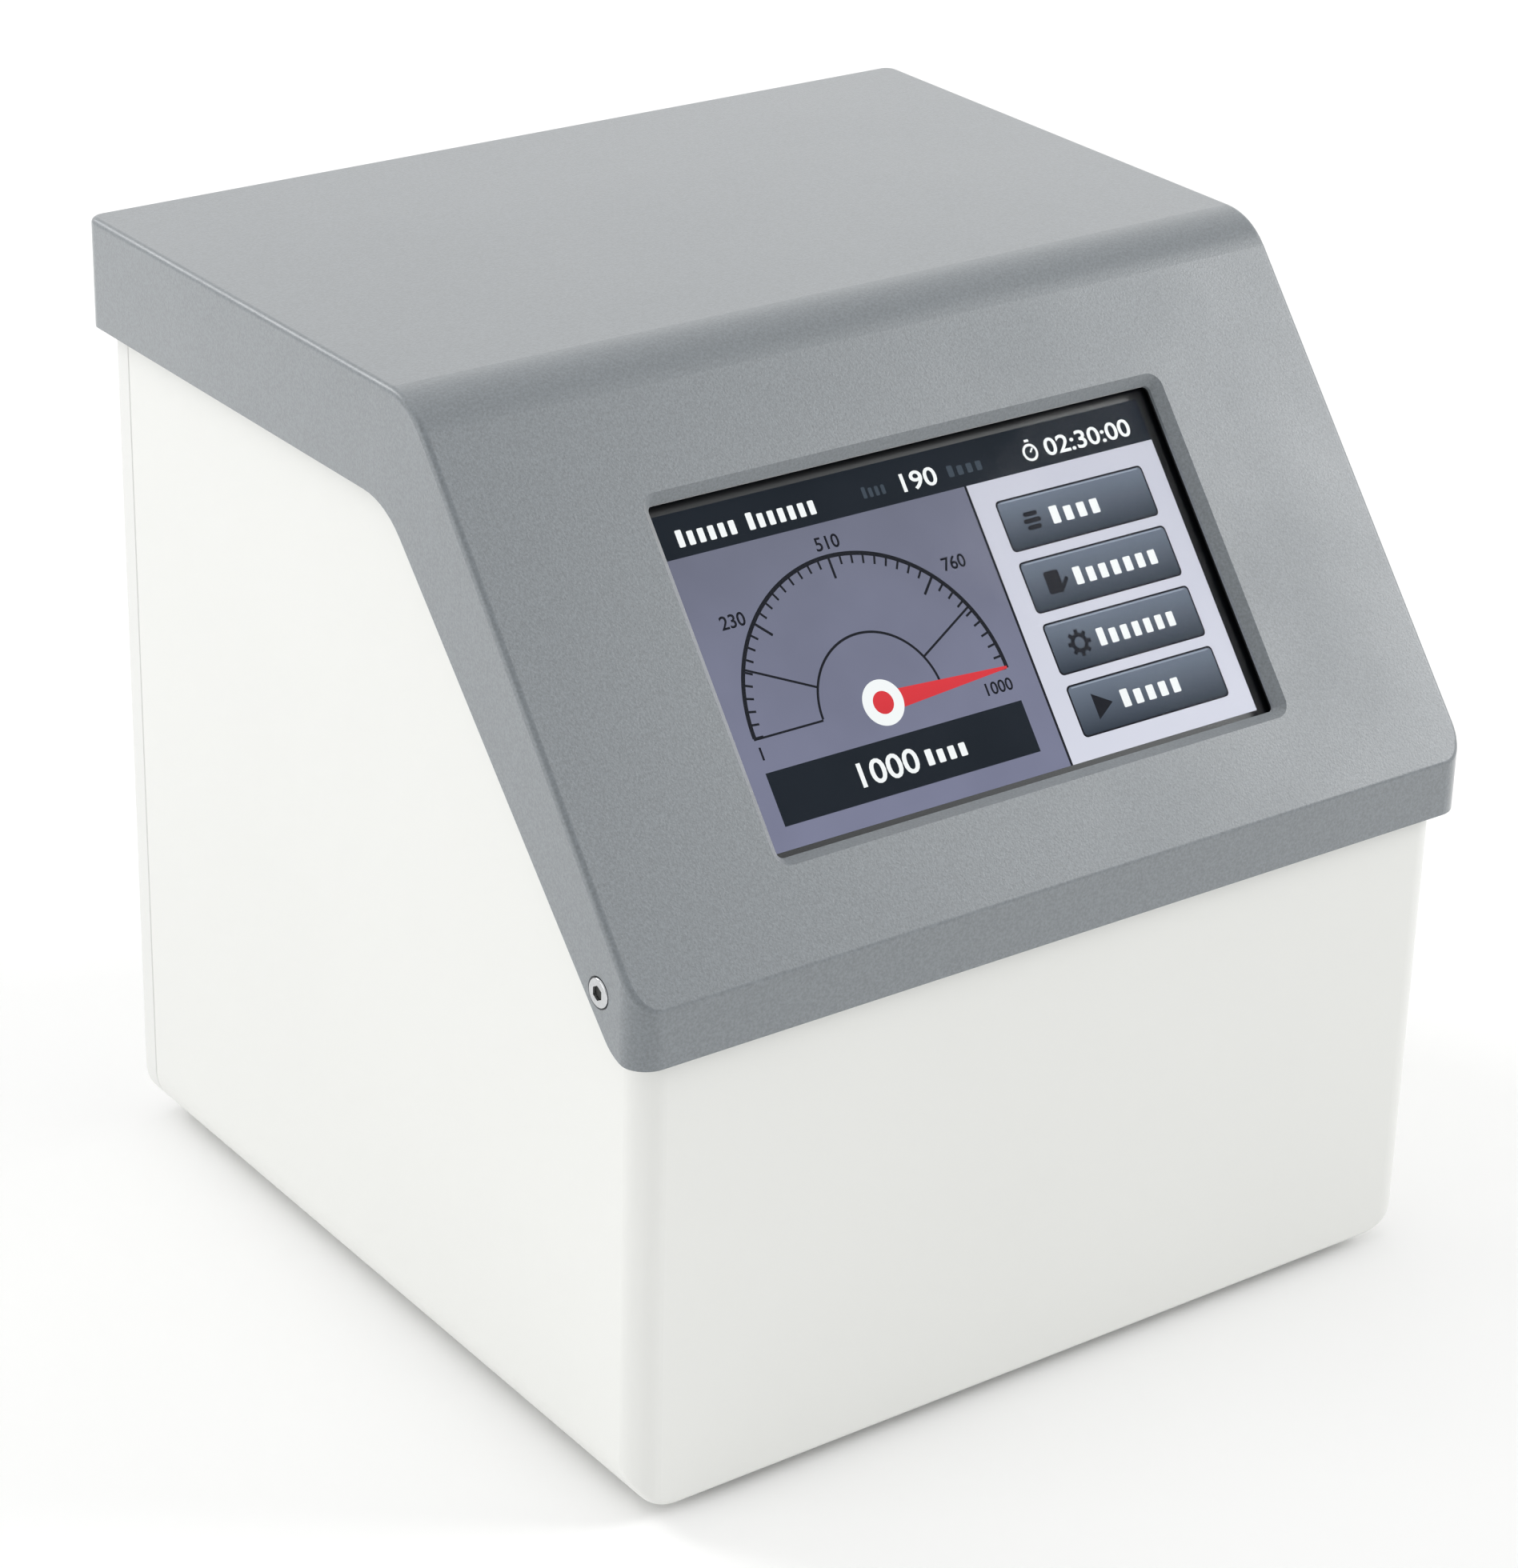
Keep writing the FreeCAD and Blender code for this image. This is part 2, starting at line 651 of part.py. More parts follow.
def drill_hood(body):
    """Clearance holes for the two side screws, with recessed seats, and the two back screws."""
    y = f"{FRONT} + dims.screw_side_y"
    side = sketch_on(body, "YZ_Plane", "side_screw_holes")
    circle(side, y, "dims.screw_side_z", "dims.screw_hole", "side")
    add_feature(body, "Pocket", "side_screw_cut", side, "dims.hood_width + 10", midplane=True)
    for name, face, outwards in (("left", f"-{SIDE}", True), ("right", SIDE, False)):
        seat = sketch_on(body, "YZ_Plane", f"{name}_screw_seat", face)
        circle(seat, y, "dims.screw_side_z", "dims.screw_head + 0.3", "seat")
        add_feature(body, "Pocket", f"{name}_seat_cut", seat, "dims.screw_recess", reverse=outwards)
    back = sketch_on(body, "XZ_Plane", "back_screw_holes", f"-({HOOD_BACK}) - 1")
    for i, x in enumerate(("-dims.screw_back_x", "dims.screw_back_x")):
        circle(back, x, "dims.screw_back_z", "dims.screw_hole", f"back{i}")
    add_feature(body, "Pocket", "back_screw_cut", back, "6", reverse=True)


# Depth below the sloping face at which the display bracket starts.
STACK_DEPTH = "(dims.hood_wall + dims.gasket_thick + dims.glass_thick + dims.lcd_thick)"


def post_places():
    """The bracket posts in the slope plane."""
    return [
        (f"{sx} * dims.post_x", f"dims.window_centre + {sy} * dims.post_v")
        for sx in (-1, 1)
        for sy in (-1, 1)
    ]


# ---------------------------------------------------------------- tub, panel, feet


def tub_form(name, shift, back, top):
    """The tub's block, or the same block shifted inwards by the wall for its hollow."""
    body = doc.addObject("PartDesign::Body", f"body_{name}")
    side = f"({TUB_SIDE} - {shift})"
    front = f"({TUB_FRONT} + {shift})"
    floor = f"(dims.foot_height + {shift})"
    outline = sketch_on(body, "XZ_Plane", f"{name}_outline", f"-({back})")
    corners = [
        (f"-{side}", floor, f"dims.tub_keel - {shift}"),
        (side, floor, f"dims.tub_keel - {shift}"),
        (side, top, "0"),
        (f"-{side}", top, "0"),
    ]
    profile(outline, corners, "outline")
    add_feature(body, "Pad", f"{name}_block", outline, f"{back} - {front}")
    plan = sketch_on(body, "XY_Plane", f"{name}_plan")
    profile(plan, rounded(f"-{SIDE} - 5", f"{FRONT} - 5", f"{SIDE} + 5", f"{back} + 5"), "outside")
    beside = f"({side} + dims.corner_step)"
    corners = [
        (f"-{beside}", front, f"dims.tub_corner - {shift}"),
        (beside, front, f"dims.tub_corner - {shift}"),
        (beside, f"{back} + 2", "0"),
        (f"-{beside}", f"{back} + 2", "0"),
    ]
    profile(plan, corners, "plan")
    add_feature(body, "Pocket", f"{name}_corners", plan, f"{top} + 5", reverse=True)
    return body


def make_tub():
    """White tub: floor, front and side walls, with bosses for the feet, plate, hood and panel."""
    outer = tub_form("tub_outer", "0", "dims.tub_back", "dims.tub_top")
    wedge = sketch_on(outer, "YZ_Plane", "tub_wedge")
    low = "dims.lip_top - dims.tub_drop / cos(dims.slope_angle)"
    high_y = f"{FRONT} + (dims.tub_top - ({low})) / tan(dims.slope_angle)"
    corners = [
        (FRONT, low, "0"),
        (high_y, "dims.tub_top", "0"),
        (high_y, "dims.tub_top + 5", "0"),
        (FRONT, "dims.tub_top + 5", "0"),
    ]
    profile(wedge, corners, "wedge")
    add_feature(outer, "Pocket", "tub_slope", wedge, "dims.hood_width + 10", midplane=True)
    front, floor = value(TUB_FRONT), value("dims.foot_height")
    dress(
        outer, "Fillet", "tub_front_round",
        lambda edge, mid: along_x(edge) and abs(mid.y - front) < 0.01 and abs(mid.z - floor) < 0.01,
        "Radius", "dims.tub_front_edge",
    )
    hollow = tub_form("tub_hollow", "dims.tub_wall", "dims.tub_back + 5", "dims.tub_top + 5")
    shell = cut("tub_shell", outer, [hollow])

    floor_top = "dims.foot_height + dims.tub_wall"
    bosses, holes = [], []
    for i, (x, y) in enumerate(chassis_places()):
        start = (x, y, f"{floor_top} - 0.5")
        bosses.append(cylinder(f"floor_boss_{i}", start, "dims.boss_radius", f"dims.chassis_z - ({floor_top}) + 0.5"))
        holes.append(cylinder(f"floor_pilot_{i}", (x, y, "dims.chassis_z"), "dims.screw_shank", "6", "-z"))
    for i, (x, y) in enumerate(foot_places()):
        holes.append(cylinder(f"foot_hole_{i}", (x, y, "dims.foot_height"), FOOT_STEM, "dims.tub_wall"))
    for i, (x, z) in enumerate(panel_screw_places()):
        bosses.append(cylinder(f"rear_boss_{i}", (x, "dims.tub_back", z), "dims.boss_radius", "9", "-y"))
        holes.append(cylinder(f"rear_pilot_{i}", (x, "dims.tub_back", z), "dims.screw_shank", "9", "-y"))
    screw_y = f"{FRONT} + dims.screw_side_y"
    for sign, inwards in ((-1, "x"), (1, "-x")):
        start = (f"{sign} * ({TUB_SIDE} - dims.tub_wall + 0.5)", screw_y, "dims.screw_side_z")
        bosses.append(cylinder(f"side_boss_{sign + 1}", start, "dims.boss_radius", "5.5", inwards))
        mouth = (f"{sign} * {TUB_SIDE}", screw_y, "dims.screw_side_z")
        holes.append(cylinder(f"side_insert_hole_{sign + 1}", mouth, "dims.insert_radius", "8", inwards))
    node(cut("tub", fuse("tub_walls", [shell, *bosses]), holes), "base_housing")


FOOT_STEM = "3"
PANEL_HOLE_X = "86"


def chassis_places():
    """Chassis plate screws on the floor."""
    return [(f"{sx} * 74", y) for sx in (-1, 1) for y in ("-76", "44")]


def foot_places():
    """Rubber feet under the floor."""
    return [(f"{sx} * 70", y) for sx in (-1, 1) for y in ("-86", "58")]


def panel_screw_places():
    """Rear panel screws near its corners."""
    return [(f"{sx} * {PANEL_HOLE_X}", z) for sx in (-1, 1) for z in ("20", "160")]


def make_panel():
    """Rear panel with its cut-outs, in a plane turned upright, and two pads for the hood screws."""
    body = new_body("rear_panel")
    sketch = sketch_on(body, "XZ_Plane", "panel_outline", f"-{PANEL_FACE}")
    corners = [
        (f"-{TUB_SIDE}", "dims.foot_height", "dims.tub_keel"),
        (TUB_SIDE, "dims.foot_height", "dims.tub_keel"),
        (TUB_SIDE, "dims.tub_top", "0"),
        (f"-{TUB_SIDE}", "dims.tub_top", "0"),
    ]
    profile(sketch, corners, "panel")
    for i, (x, z) in enumerate(panel_screw_places()):
        circle(sketch, x, z, "dims.screw_hole", f"corner{i}")
    for i, x in enumerate(("dims.system_x", "dims.pump_x")):
        circle(sketch, x, "dims.port_z", "7.2", f"port{i}")
    circle(sketch, "dims.vent_x", "dims.port_z", "5.2", "vent")
    for i, x in enumerate(socket_places()):
        circle(sketch, x, "dims.socket_z", "dims.socket_radius + 0.2", f"signal{i}")
    for i, (x, z) in enumerate(block_screw_places()):
        circle(sketch, x, z, "dims.screw_hole", f"block{i}")
    for i, x in enumerate(("dims.inlet_x - 20", "dims.inlet_x + 20")):
        circle(sketch, x, "dims.inlet_z", "dims.screw_shank", f"inlet{i}")
    inlet = rounded(
        "dims.inlet_x - 13.9", "dims.inlet_z - 14.9", "dims.inlet_x + 13.9", "dims.inlet_z + 14.9"
    )
    profile(sketch, inlet, "inlet_cut")
    switch = rounded(
        "dims.switch_x - 6.5", "dims.switch_z - 9.7", "dims.switch_x + 6.5", "dims.switch_z + 9.7"
    )
    profile(sketch, switch, "switch_cut")
    add_feature(body, "Pad", "panel_pad", sketch, "dims.panel_thick")
    joint, side, low = value("dims.tub_back"), value(TUB_SIDE), value("dims.foot_height")
    keel = value("dims.tub_keel")

    def on_seam(edge, mid):
        corner = (abs(mid.x) - side + keel, low + keel - mid.z)
        rounded_off = min(corner) > 0 and abs(math.hypot(*corner) - keel) < 0.01
        return abs(mid.y - joint) < 0.01 and (rounded_off or abs(mid.x) > side - 0.01 or mid.z < low + 0.01)

    dress(body, "Chamfer", "panel_seam_cut", on_seam, "Size", "dims.panel_seam")
    pads = sketch_on(body, "XZ_Plane", "hood_screw_pads", f"-{PANEL_FACE} - 2.4")
    for i, x in enumerate(("-dims.screw_back_x", "dims.screw_back_x")):
        circle(pads, x, "dims.screw_back_z", "5", f"pad{i}")
    add_feature(body, "Pad", "hood_pad", pads, "4")
    holes = sketch_on(body, "XZ_Plane", "hood_insert_holes", f"-{PANEL_FACE} - 2.4")
    for i, x in enumerate(("-dims.screw_back_x", "dims.screw_back_x")):
        circle(holes, x, "dims.screw_back_z", "dims.insert_radius", f"hole{i}")
    add_feature(body, "Pocket", "hood_insert_cut", holes, "8", reverse=True)
    return body


def socket_places():
    """The two signal sockets across the panel."""
    return ["dims.socket_x", "dims.socket_x + dims.socket_pitch"]


def block_screw_places():
    """Manifold block screws through the rear panel."""
    low, high = "dims.block_low + 4.5", "dims.block_low + dims.block_high - 4.5"
    return [(x, z) for x in ("dims.valve_x", "dims.vent_x - 11") for z in (low, high)]


def make_hood_fixings():
    """Hood screws and inserts, panel screws, chassis screws, feet and the chassis plate."""
    y = f"{FRONT} + dims.screw_side_y"
    screws, inserts = [], []
    for sign, axis in ((-1, "-x"), (1, "x")):
        seat = (f"{sign} * ({SIDE} - dims.screw_recess)", y, "dims.screw_side_z")
        screws.append(screw(f"side_screw_{sign + 1}", seat, axis, "8"))
        start = (f"{sign} * ({TUB_SIDE} - 0.2)", y, "dims.screw_side_z")
        inserts.append(insert(f"side_insert_{sign + 1}", start, opposite(axis)))
    for index, x in enumerate(("-dims.screw_back_x", "dims.screw_back_x")):
        seat = (x, HOOD_BACK, "dims.screw_back_z")
        screws.append(screw(f"back_screw_{index}", seat, "y", "8"))
        start = (x, f"{PANEL_FACE} + 2.2", "dims.screw_back_z")
        inserts.append(insert(f"back_insert_{index}", start, "-y"))
    group("hood_screws", screws)
    group("hood_inserts", inserts)
    panel = [
        screw(f"panel_screw_{i}", (x, PANEL_FACE, z), "y", "10")
        for i, (x, z) in enumerate(panel_screw_places())
    ]
    shared["rear_panel_screws"] += panel
    seats = [(x, y, CHASSIS_TOP) for x, y in chassis_places()]
    shared["inner_screws"] += [screw(f"chassis_screw_{i}", seat, "z", "6") for i, seat in enumerate(seats)]
    feet = []
    for i, (x, y) in enumerate(foot_places()):
        pad = doc.addObject("Part::Cone", f"foot_pad_{i}")
        bind(pad, "Radius1", "8")
        bind(pad, "Radius2", "9")
        bind(pad, "Height", "dims.foot_height")
        place(pad, (x, y, "0"))
        stem = cylinder(f"foot_stem_{i}", (x, y, "dims.foot_height"), FOOT_STEM, "dims.tub_wall")
        feet.append(fuse(f"foot_{i}", [pad, stem]))
    group("rubber_feet", feet)
    plate(
        "chassis_plate",
        rounded("-82", "-88", "82", "52", "4"),
        "dims.chassis_thick",
        "dims.chassis_z",
        holes=[(x, y, "dims.screw_hole") for x, y in chassis_places()],
    )


def insert(name, start, axis):
    """A brass threaded insert with a flange-free round body."""
    outer = cylinder(f"{name}_outer", start, "dims.insert_radius", "dims.insert_long", axis)
    inner = cylinder(f"{name}_inner", start, "dims.screw_shank", "dims.insert_long", axis)
    return cut(name, outer, [inner])


# ---------------------------------------------------------------- display


def on_slope(body, depth="0"):
    """Place a flat body in the plane of the sloping face, its XY origin on the lip's top edge."""
    where = (
        "0",
        f"{FRONT} + ({depth}) * sin(dims.slope_angle)",
        f"dims.lip_top - ({depth}) * cos(dims.slope_angle)",
    )
    return place(body, where, X_AXIS, "dims.slope_angle")


def make_display():
    """Gasket, touch panel, display module, bracket, driver board and their fixings."""
    module = rounded(
        "-dims.lcd_width / 2",
        "dims.window_centre - dims.lcd_height / 2",
        "dims.lcd_width / 2",
        "dims.window_centre + dims.lcd_height / 2",
        "1",
    )
    gap = rounded(
        "-dims.window_width / 2 - 0.3",
        "dims.window_centre - dims.window_height / 2 - 0.3",
        "dims.window_width / 2 + 0.3",
        "dims.window_centre + dims.window_height / 2 + 0.3",
        "1.5",
    )
    layers = [
        ("display_gasket", "dims.gasket_thick", "dims.hood_wall + dims.gasket_thick", [gap]),
        ("touch_panel", "dims.glass_thick", "dims.hood_wall + dims.gasket_thick + dims.glass_thick", []),
        ("lcd_module", "dims.lcd_thick", STACK_DEPTH, []),
    ]
    for name, thick, depth, windows in layers:
        on_slope(plate(name, module, thick, windows=windows), depth)
    bracket_outline = rounded("-71", "dims.window_centre - 33", "71", "dims.window_centre + 33", "3")
    opening = rounded("-26", "dims.window_centre - 3", "26", "dims.window_centre + 12", "2")
    bracket_depth = f"{STACK_DEPTH} + dims.bracket_thick"
    on_slope(
        plate(
            "display_bracket", bracket_outline, "dims.bracket_thick",
            holes=[(x, v, "dims.screw_hole") for x, v in post_places()], windows=[opening],
        ),
        bracket_depth,
    )
    board = rounded("-45", "dims.window_centre - 27", "45", "dims.window_centre + 27", "1")
    places = [(f"{sx} * 40", f"dims.window_centre + {sy} * 22") for sx in (-1, 1) for sy in (-1, 1)]
    board_depth = f"{bracket_depth} + dims.standoff_high + dims.board_thick"
    on_slope(
        plate("display_board", board, "dims.board_thick", holes=[(x, v, "1.6") for x, v in places]), board_depth
    )
    screws = [screw(f"bracket_screw_{i}", (x, v, "0"), "-z", "6") for i, (x, v) in enumerate(post_places())]
    shared["inner_screws"].append(slope_group("bracket_screws", screws, bracket_depth))
    posts = [standoff(f"display_post_{i}", (x, v, "0"), "-z") for i, (x, v) in enumerate(places)]
    shared["board_standoffs"].append(slope_group("display_standoffs", posts, bracket_depth))
    screws = [screw(f"display_screw_{i}", (x, v, "0"), "-z", "6") for i, (x, v) in enumerate(places)]
    shared["inner_screws"].append(slope_group("display_screws", screws, board_depth))


def standoff(name, start, axis):
    """A hollow spacer that a board stands on."""
    rod = cylinder(f"{name}_rod", start, "dims.standoff_radius", "dims.standoff_high", axis)
    hole = cylinder(f"{name}_hole", start, "dims.screw_shank", "dims.standoff_high", axis)
    return cut(name, rod, [hole])


def slope_group(name, items, depth):
    """Solids modelled in the slope plane and hung below the sloping face."""
    result = doc.addObject("Part::Compound", f"{name}_group")
    result.Links = items
    where = (
        "0",
        f"{FRONT} + ({depth}) * sin(dims.slope_angle)",
        f"dims.lip_top - ({depth}) * cos(dims.slope_angle)",
    )
    return place(result, where, X_AXIS, "dims.slope_angle")


# ---------------------------------------------------------------- electronics


def board_corners(middle, wide):
    """Standoffs near the corners of a board."""
    edge = f"({wide} / 2 - 4)"
    return [
        (f"{middle} + {sx} * {edge}", y)
        for sx in (-1, 1)
        for y in ("dims.board_front + 4", "dims.board_back - 4")
    ]


def on_board(name, x, y, size):
    """A box-shaped component standing on a board, centred at x, y."""
    low = (f"({x}) - {size[0]} / 2", f"({y}) - {size[1]} / 2", BOARD_TOP)
    return box(name, low, [str(length) for length in size])


CONNECTOR = (7, 7, 9)
CONNECTOR_TOP = f"({BOARD_TOP} + {CONNECTOR[2]})"
TERMINAL_HIGH = 11


def make_boards():
    """Main board and power supply on standoffs, with what is soldered to them."""
    boards = (("main_board", "dims.main_board_x", "dims.main_board_wide"),
              ("power_supply_board", "dims.supply_x", "dims.supply_wide"))
    for name, middle, wide in boards:
        corners = board_corners(middle, wide)
        left, right = f"{middle} - {wide} / 2", f"{middle} + {wide} / 2"
        outline = rounded(left, "dims.board_front", right, "dims.board_back")
        plate(name, outline, "dims.board_thick", BOARD_LOW, holes=[(x, y, "1.6") for x, y in corners])
        for i, (x, y) in enumerate(corners):
            shared["board_standoffs"].append(standoff(f"{name}_standoff_{i}", (x, y, CHASSIS_TOP), "z"))
            shared["inner_screws"].append(screw(f"{name}_screw_{i}", (x, y, BOARD_TOP), "z", "6"))

    group("main_board_chips", [
        on_board("processor", "-40", "-15", (16, 16, 2)),
        on_board("memory", "-15", "-15", (10, 14, 1.5)),
        on_board("valve_driver", "-28", "25", (9, 6, 2.5)),
    ])
    shared["board_connectors"] += [
        on_board("ribbon_connector", "-55", "-50", (24, 6, 6)),
        on_board("supply_connector", "-6", "-50", CONNECTOR),
        on_board("vacuum_valve_connector", "dims.valve_x", "30", CONNECTOR),
        on_board("vent_valve_connector", "dims.vent_x - 2", "30", CONNECTOR),
        on_board("sensor_connector", "-66", "20", CONNECTOR),
        on_board("signal_connector_0", "-22", "12", CONNECTOR),
        on_board("signal_connector_1", "-30", "2", CONNECTOR),
        on_board("terminal_block", "41", "29", (34, 10, TERMINAL_HIGH)),
        on_board("low_voltage_connector", "22", "-52", CONNECTOR),
    ]
    node(cylinder("coin_cell", ("-62", "-25", BOARD_TOP), "10", "3.2"), "clock_battery")
    node(cylinder("buzzer_can", ("-30", "-50", BOARD_TOP), "6", "7"), "buzzer")
    group("supply_transformer", [on_board("transformer_block", "50", "-20", (32, 30, 26))])
    group("supply_capacitors", [
        cylinder(f"capacitor_{i}", ("23", y, BOARD_TOP), "6.5", "26") for i, y in enumerate(("5", "-14"))
    ])
    fins = [on_board("heatsink_base", "73.5", "-20", (3, 60, 24))]
    fins += [on_board(f"heatsink_fin_{i}", "70", f"{-49.4 + 11.76 * i}", (4.4, 1.2, 24)) for i in range(6)]
    node(fuse("heatsink", fins), "supply_heatsink")


def make_inlet():
    """Mains inlet with its blades, screws, fuse drawer and fuses."""
    x, z = "dims.inlet_x", "dims.inlet_z"
    face = f"({PANEL_FACE} + dims.flange_thick)"
    flange = box("inlet_flange", (f"{x} - 25", PANEL_FACE, f"{z} - 15.5"), ("50", "dims.flange_thick", "31"))
    shell = box("inlet_shell", (f"{x} - 13.75", f"{PANEL_FACE} - dims.inlet_deep", f"{z} - 14.75"),
                ("27.5", "dims.inlet_deep", "29.5"))
    cavity = box("inlet_cavity", (f"{x} - 12.25", f"{face} - 17.5", f"{z} - 3.75"), ("24.5", "17.5", "16.5"))
    slot = box("inlet_slot", (f"{x} - 12", f"{face} - 18", f"{z} - 12.5"), ("24", "18", "7"))
    holes = [cylinder(f"inlet_hole_{i}", (f"{x} + {dx}", PANEL_FACE, z), "dims.screw_hole", "dims.flange_thick", "y")
             for i, dx in enumerate((-20, 20))]
    blade_places = ((f"{x} - 7", f"{z} + 2.5"), (f"{x} + 7", f"{z} + 2.5"), (x, f"{z} + 6.5"))

    def blades(tag):
        return [box(f"{tag}_{i}", (f"{bx} - 1", BLADE_TAB, f"{bz} - 2"), ("2", f"{face} - 1.5 - {BLADE_TAB}", "4"))
                for i, (bx, bz) in enumerate(blade_places)]

    body = cut("inlet", fuse("inlet_body", [flange, shell]), [cavity, slot, *holes, *blades("blade_slot")])
    node(body, "power_inlet")
    group("inlet_blades", blades("blade"))
    group("inlet_screws", [screw(f"inlet_screw_{i}", (f"{x} + {dx}", face, z), "y", "7")
                           for i, dx in enumerate((-20, 20))])

    tray = box("drawer_tray", (f"{x} - 11.75", f"{face} - 17.5", f"{z} - 12.3"), ("23.5", "17.5", "6.6"))
    front = box("drawer_front", (f"{x} - 12.6", f"{face} + 0.1", f"{z} - 13.5"), ("25.2", "1.6", "9"))
    bridge = box("drawer_bridge", (f"{x} - 11.75", f"{face} - 0.5", f"{z} - 12.3"), ("23.5", "1", "6.6"))
    lip = box("drawer_lip", (f"{x} - 6", f"{face} + 1.5", f"{z} - 6.5"), ("12", "1.8", "1.6"))
    trough = box("drawer_trough", (f"{x} - 10.4", f"{face} - 16.7", f"{z} - 11.7"), ("20.8", "11.4", "7"))
    node(cut("drawer", fuse("drawer_body", [tray, bridge, front, lip]), [trough]), "fuse_drawer")
    fuses = []
    for i, back in enumerate(("13.9", "8.2")):
        start = (f"{x} - 10", f"{face} - {back}", f"{z} - 9")
        glass = cylinder(f"fuse_glass_{i}", start, "2.4", "20", "x")
        caps = [cylinder(f"fuse_cap_{i}_{j}", along(start, "x", step), "2.6", "5", "x")
                for j, step in enumerate(("0", "15"))]
        fuses.append(fuse(f"fuse_{i}", [glass, *caps]))
    group("fuses", fuses)


BLADE_TAB = "45"
PIVOT_Y = f"({PANEL_FACE} - 2)"


def make_switch():
    """Mains switch: frame with its well, rocker on its own pivots, and terminals."""
    x, z = "dims.switch_x", "dims.switch_z"
    flange = box("switch_flange", (f"{x} - 7.5", PANEL_FACE, f"{z} - 11"), ("15", "2", "22"))
    shell = box("switch_shell", (f"{x} - 6.4", f"{PANEL_FACE} - 16", f"{z} - 9.6"), ("12.8", "16", "19.2"))
    well = box("switch_well", (f"{x} - 5.5", f"{PIVOT_Y} - 5.5", f"{z} - 8.7"), ("11", "10", "17.4"))
    pivot = cylinder("switch_pivot_hole", (f"{x} - 6.3", PIVOT_Y, z), "1.26", "12.6", "x")
    node(cut("switch", fuse("switch_body", [flange, shell]), [well, pivot]), "switch_frame")

    rocker = new_body("switch_rocker")
    side = sketch_on(rocker, "YZ_Plane", "rocker_side")
    corners = [("4.8", "-8", "0.6"), ("2.6", "0", "0"), ("4.8", "8", "0.6"), ("-0.5", "8", "0"),
               ("-2.4", "0", "0"), ("-0.5", "-8", "0")]
    profile(side, corners, "rocker")
    add_feature(rocker, "Pad", "rocker_pad", side, "10.2", midplane=True)
    pins = sketch_on(rocker, "YZ_Plane", "rocker_pins")
    circle(pins, "0", "0", "1.2", "pin")
    add_feature(rocker, "Pad", "rocker_pin_pad", pins, "12.2", midplane=True)
    place(rocker, (x, PIVOT_Y, z), X_AXIS, "dims.rocker_tilt")
    group("switch_terminals", [
        box(f"switch_tab_{i}", (f"{x} - 0.4", f"{PANEL_FACE} - 26", f"{z} + {dz} - 2.4"), ("0.8", "10", "4.8"))
        for i, dz in enumerate((-5, 5))
    ])


def make_sockets():
    """Round signal sockets with their nuts."""
    nuts = []
    for i, x in enumerate(socket_places()):
        where = (x, PANEL_FACE, "dims.socket_z")
        flange = cylinder(f"socket_flange_{i}", where, "8.5", "2", "y")
        thread = cylinder(f"socket_thread_{i}", along(where, "y", "-15"), "dims.socket_radius", "26", "y")
        recess = cylinder(f"socket_recess_{i}", along(where, "y", "9"), "4.6", "2", "y")
        contacts = [
            cylinder(f"socket_contact_{i}_{k}", (f"{x} + 2.6 * cos({90 * k + 45})", f"{PANEL_FACE} + 4",
                     f"dims.socket_z + 2.6 * sin({90 * k + 45})"), "0.5", "6", "y")
            for k in range(4)
        ]
        body = cut(f"socket_{i}", fuse(f"socket_body_{i}", [flange, thread]), [recess, *contacts])
        node(body, f"signal_socket_{i + 1}")
        low = (x, "dims.tub_back - 3", "dims.socket_z")
        hole = cylinder(f"nut_hole_{i}", low, "dims.socket_radius", "3", "y")
        nuts.append(cut(f"socket_nut_{i}", hexagon(f"nut_body_{i}", low, "16", "3", "y"), [hole]))
    group("socket_nuts", nuts)


# ---------------------------------------------------------------- pneumatics

SEAT_Y = f"({BLOCK_FACE} + 4)"
CHANNEL_Y = "64"
UPPER_Z = "143"
SENSOR = ("-66", "62")


def valve_places():
    """The two solenoid valves on the front of the block."""
    return [("vacuum_valve", "dims.valve_x"), ("vent_valve", "dims.vent_x")]


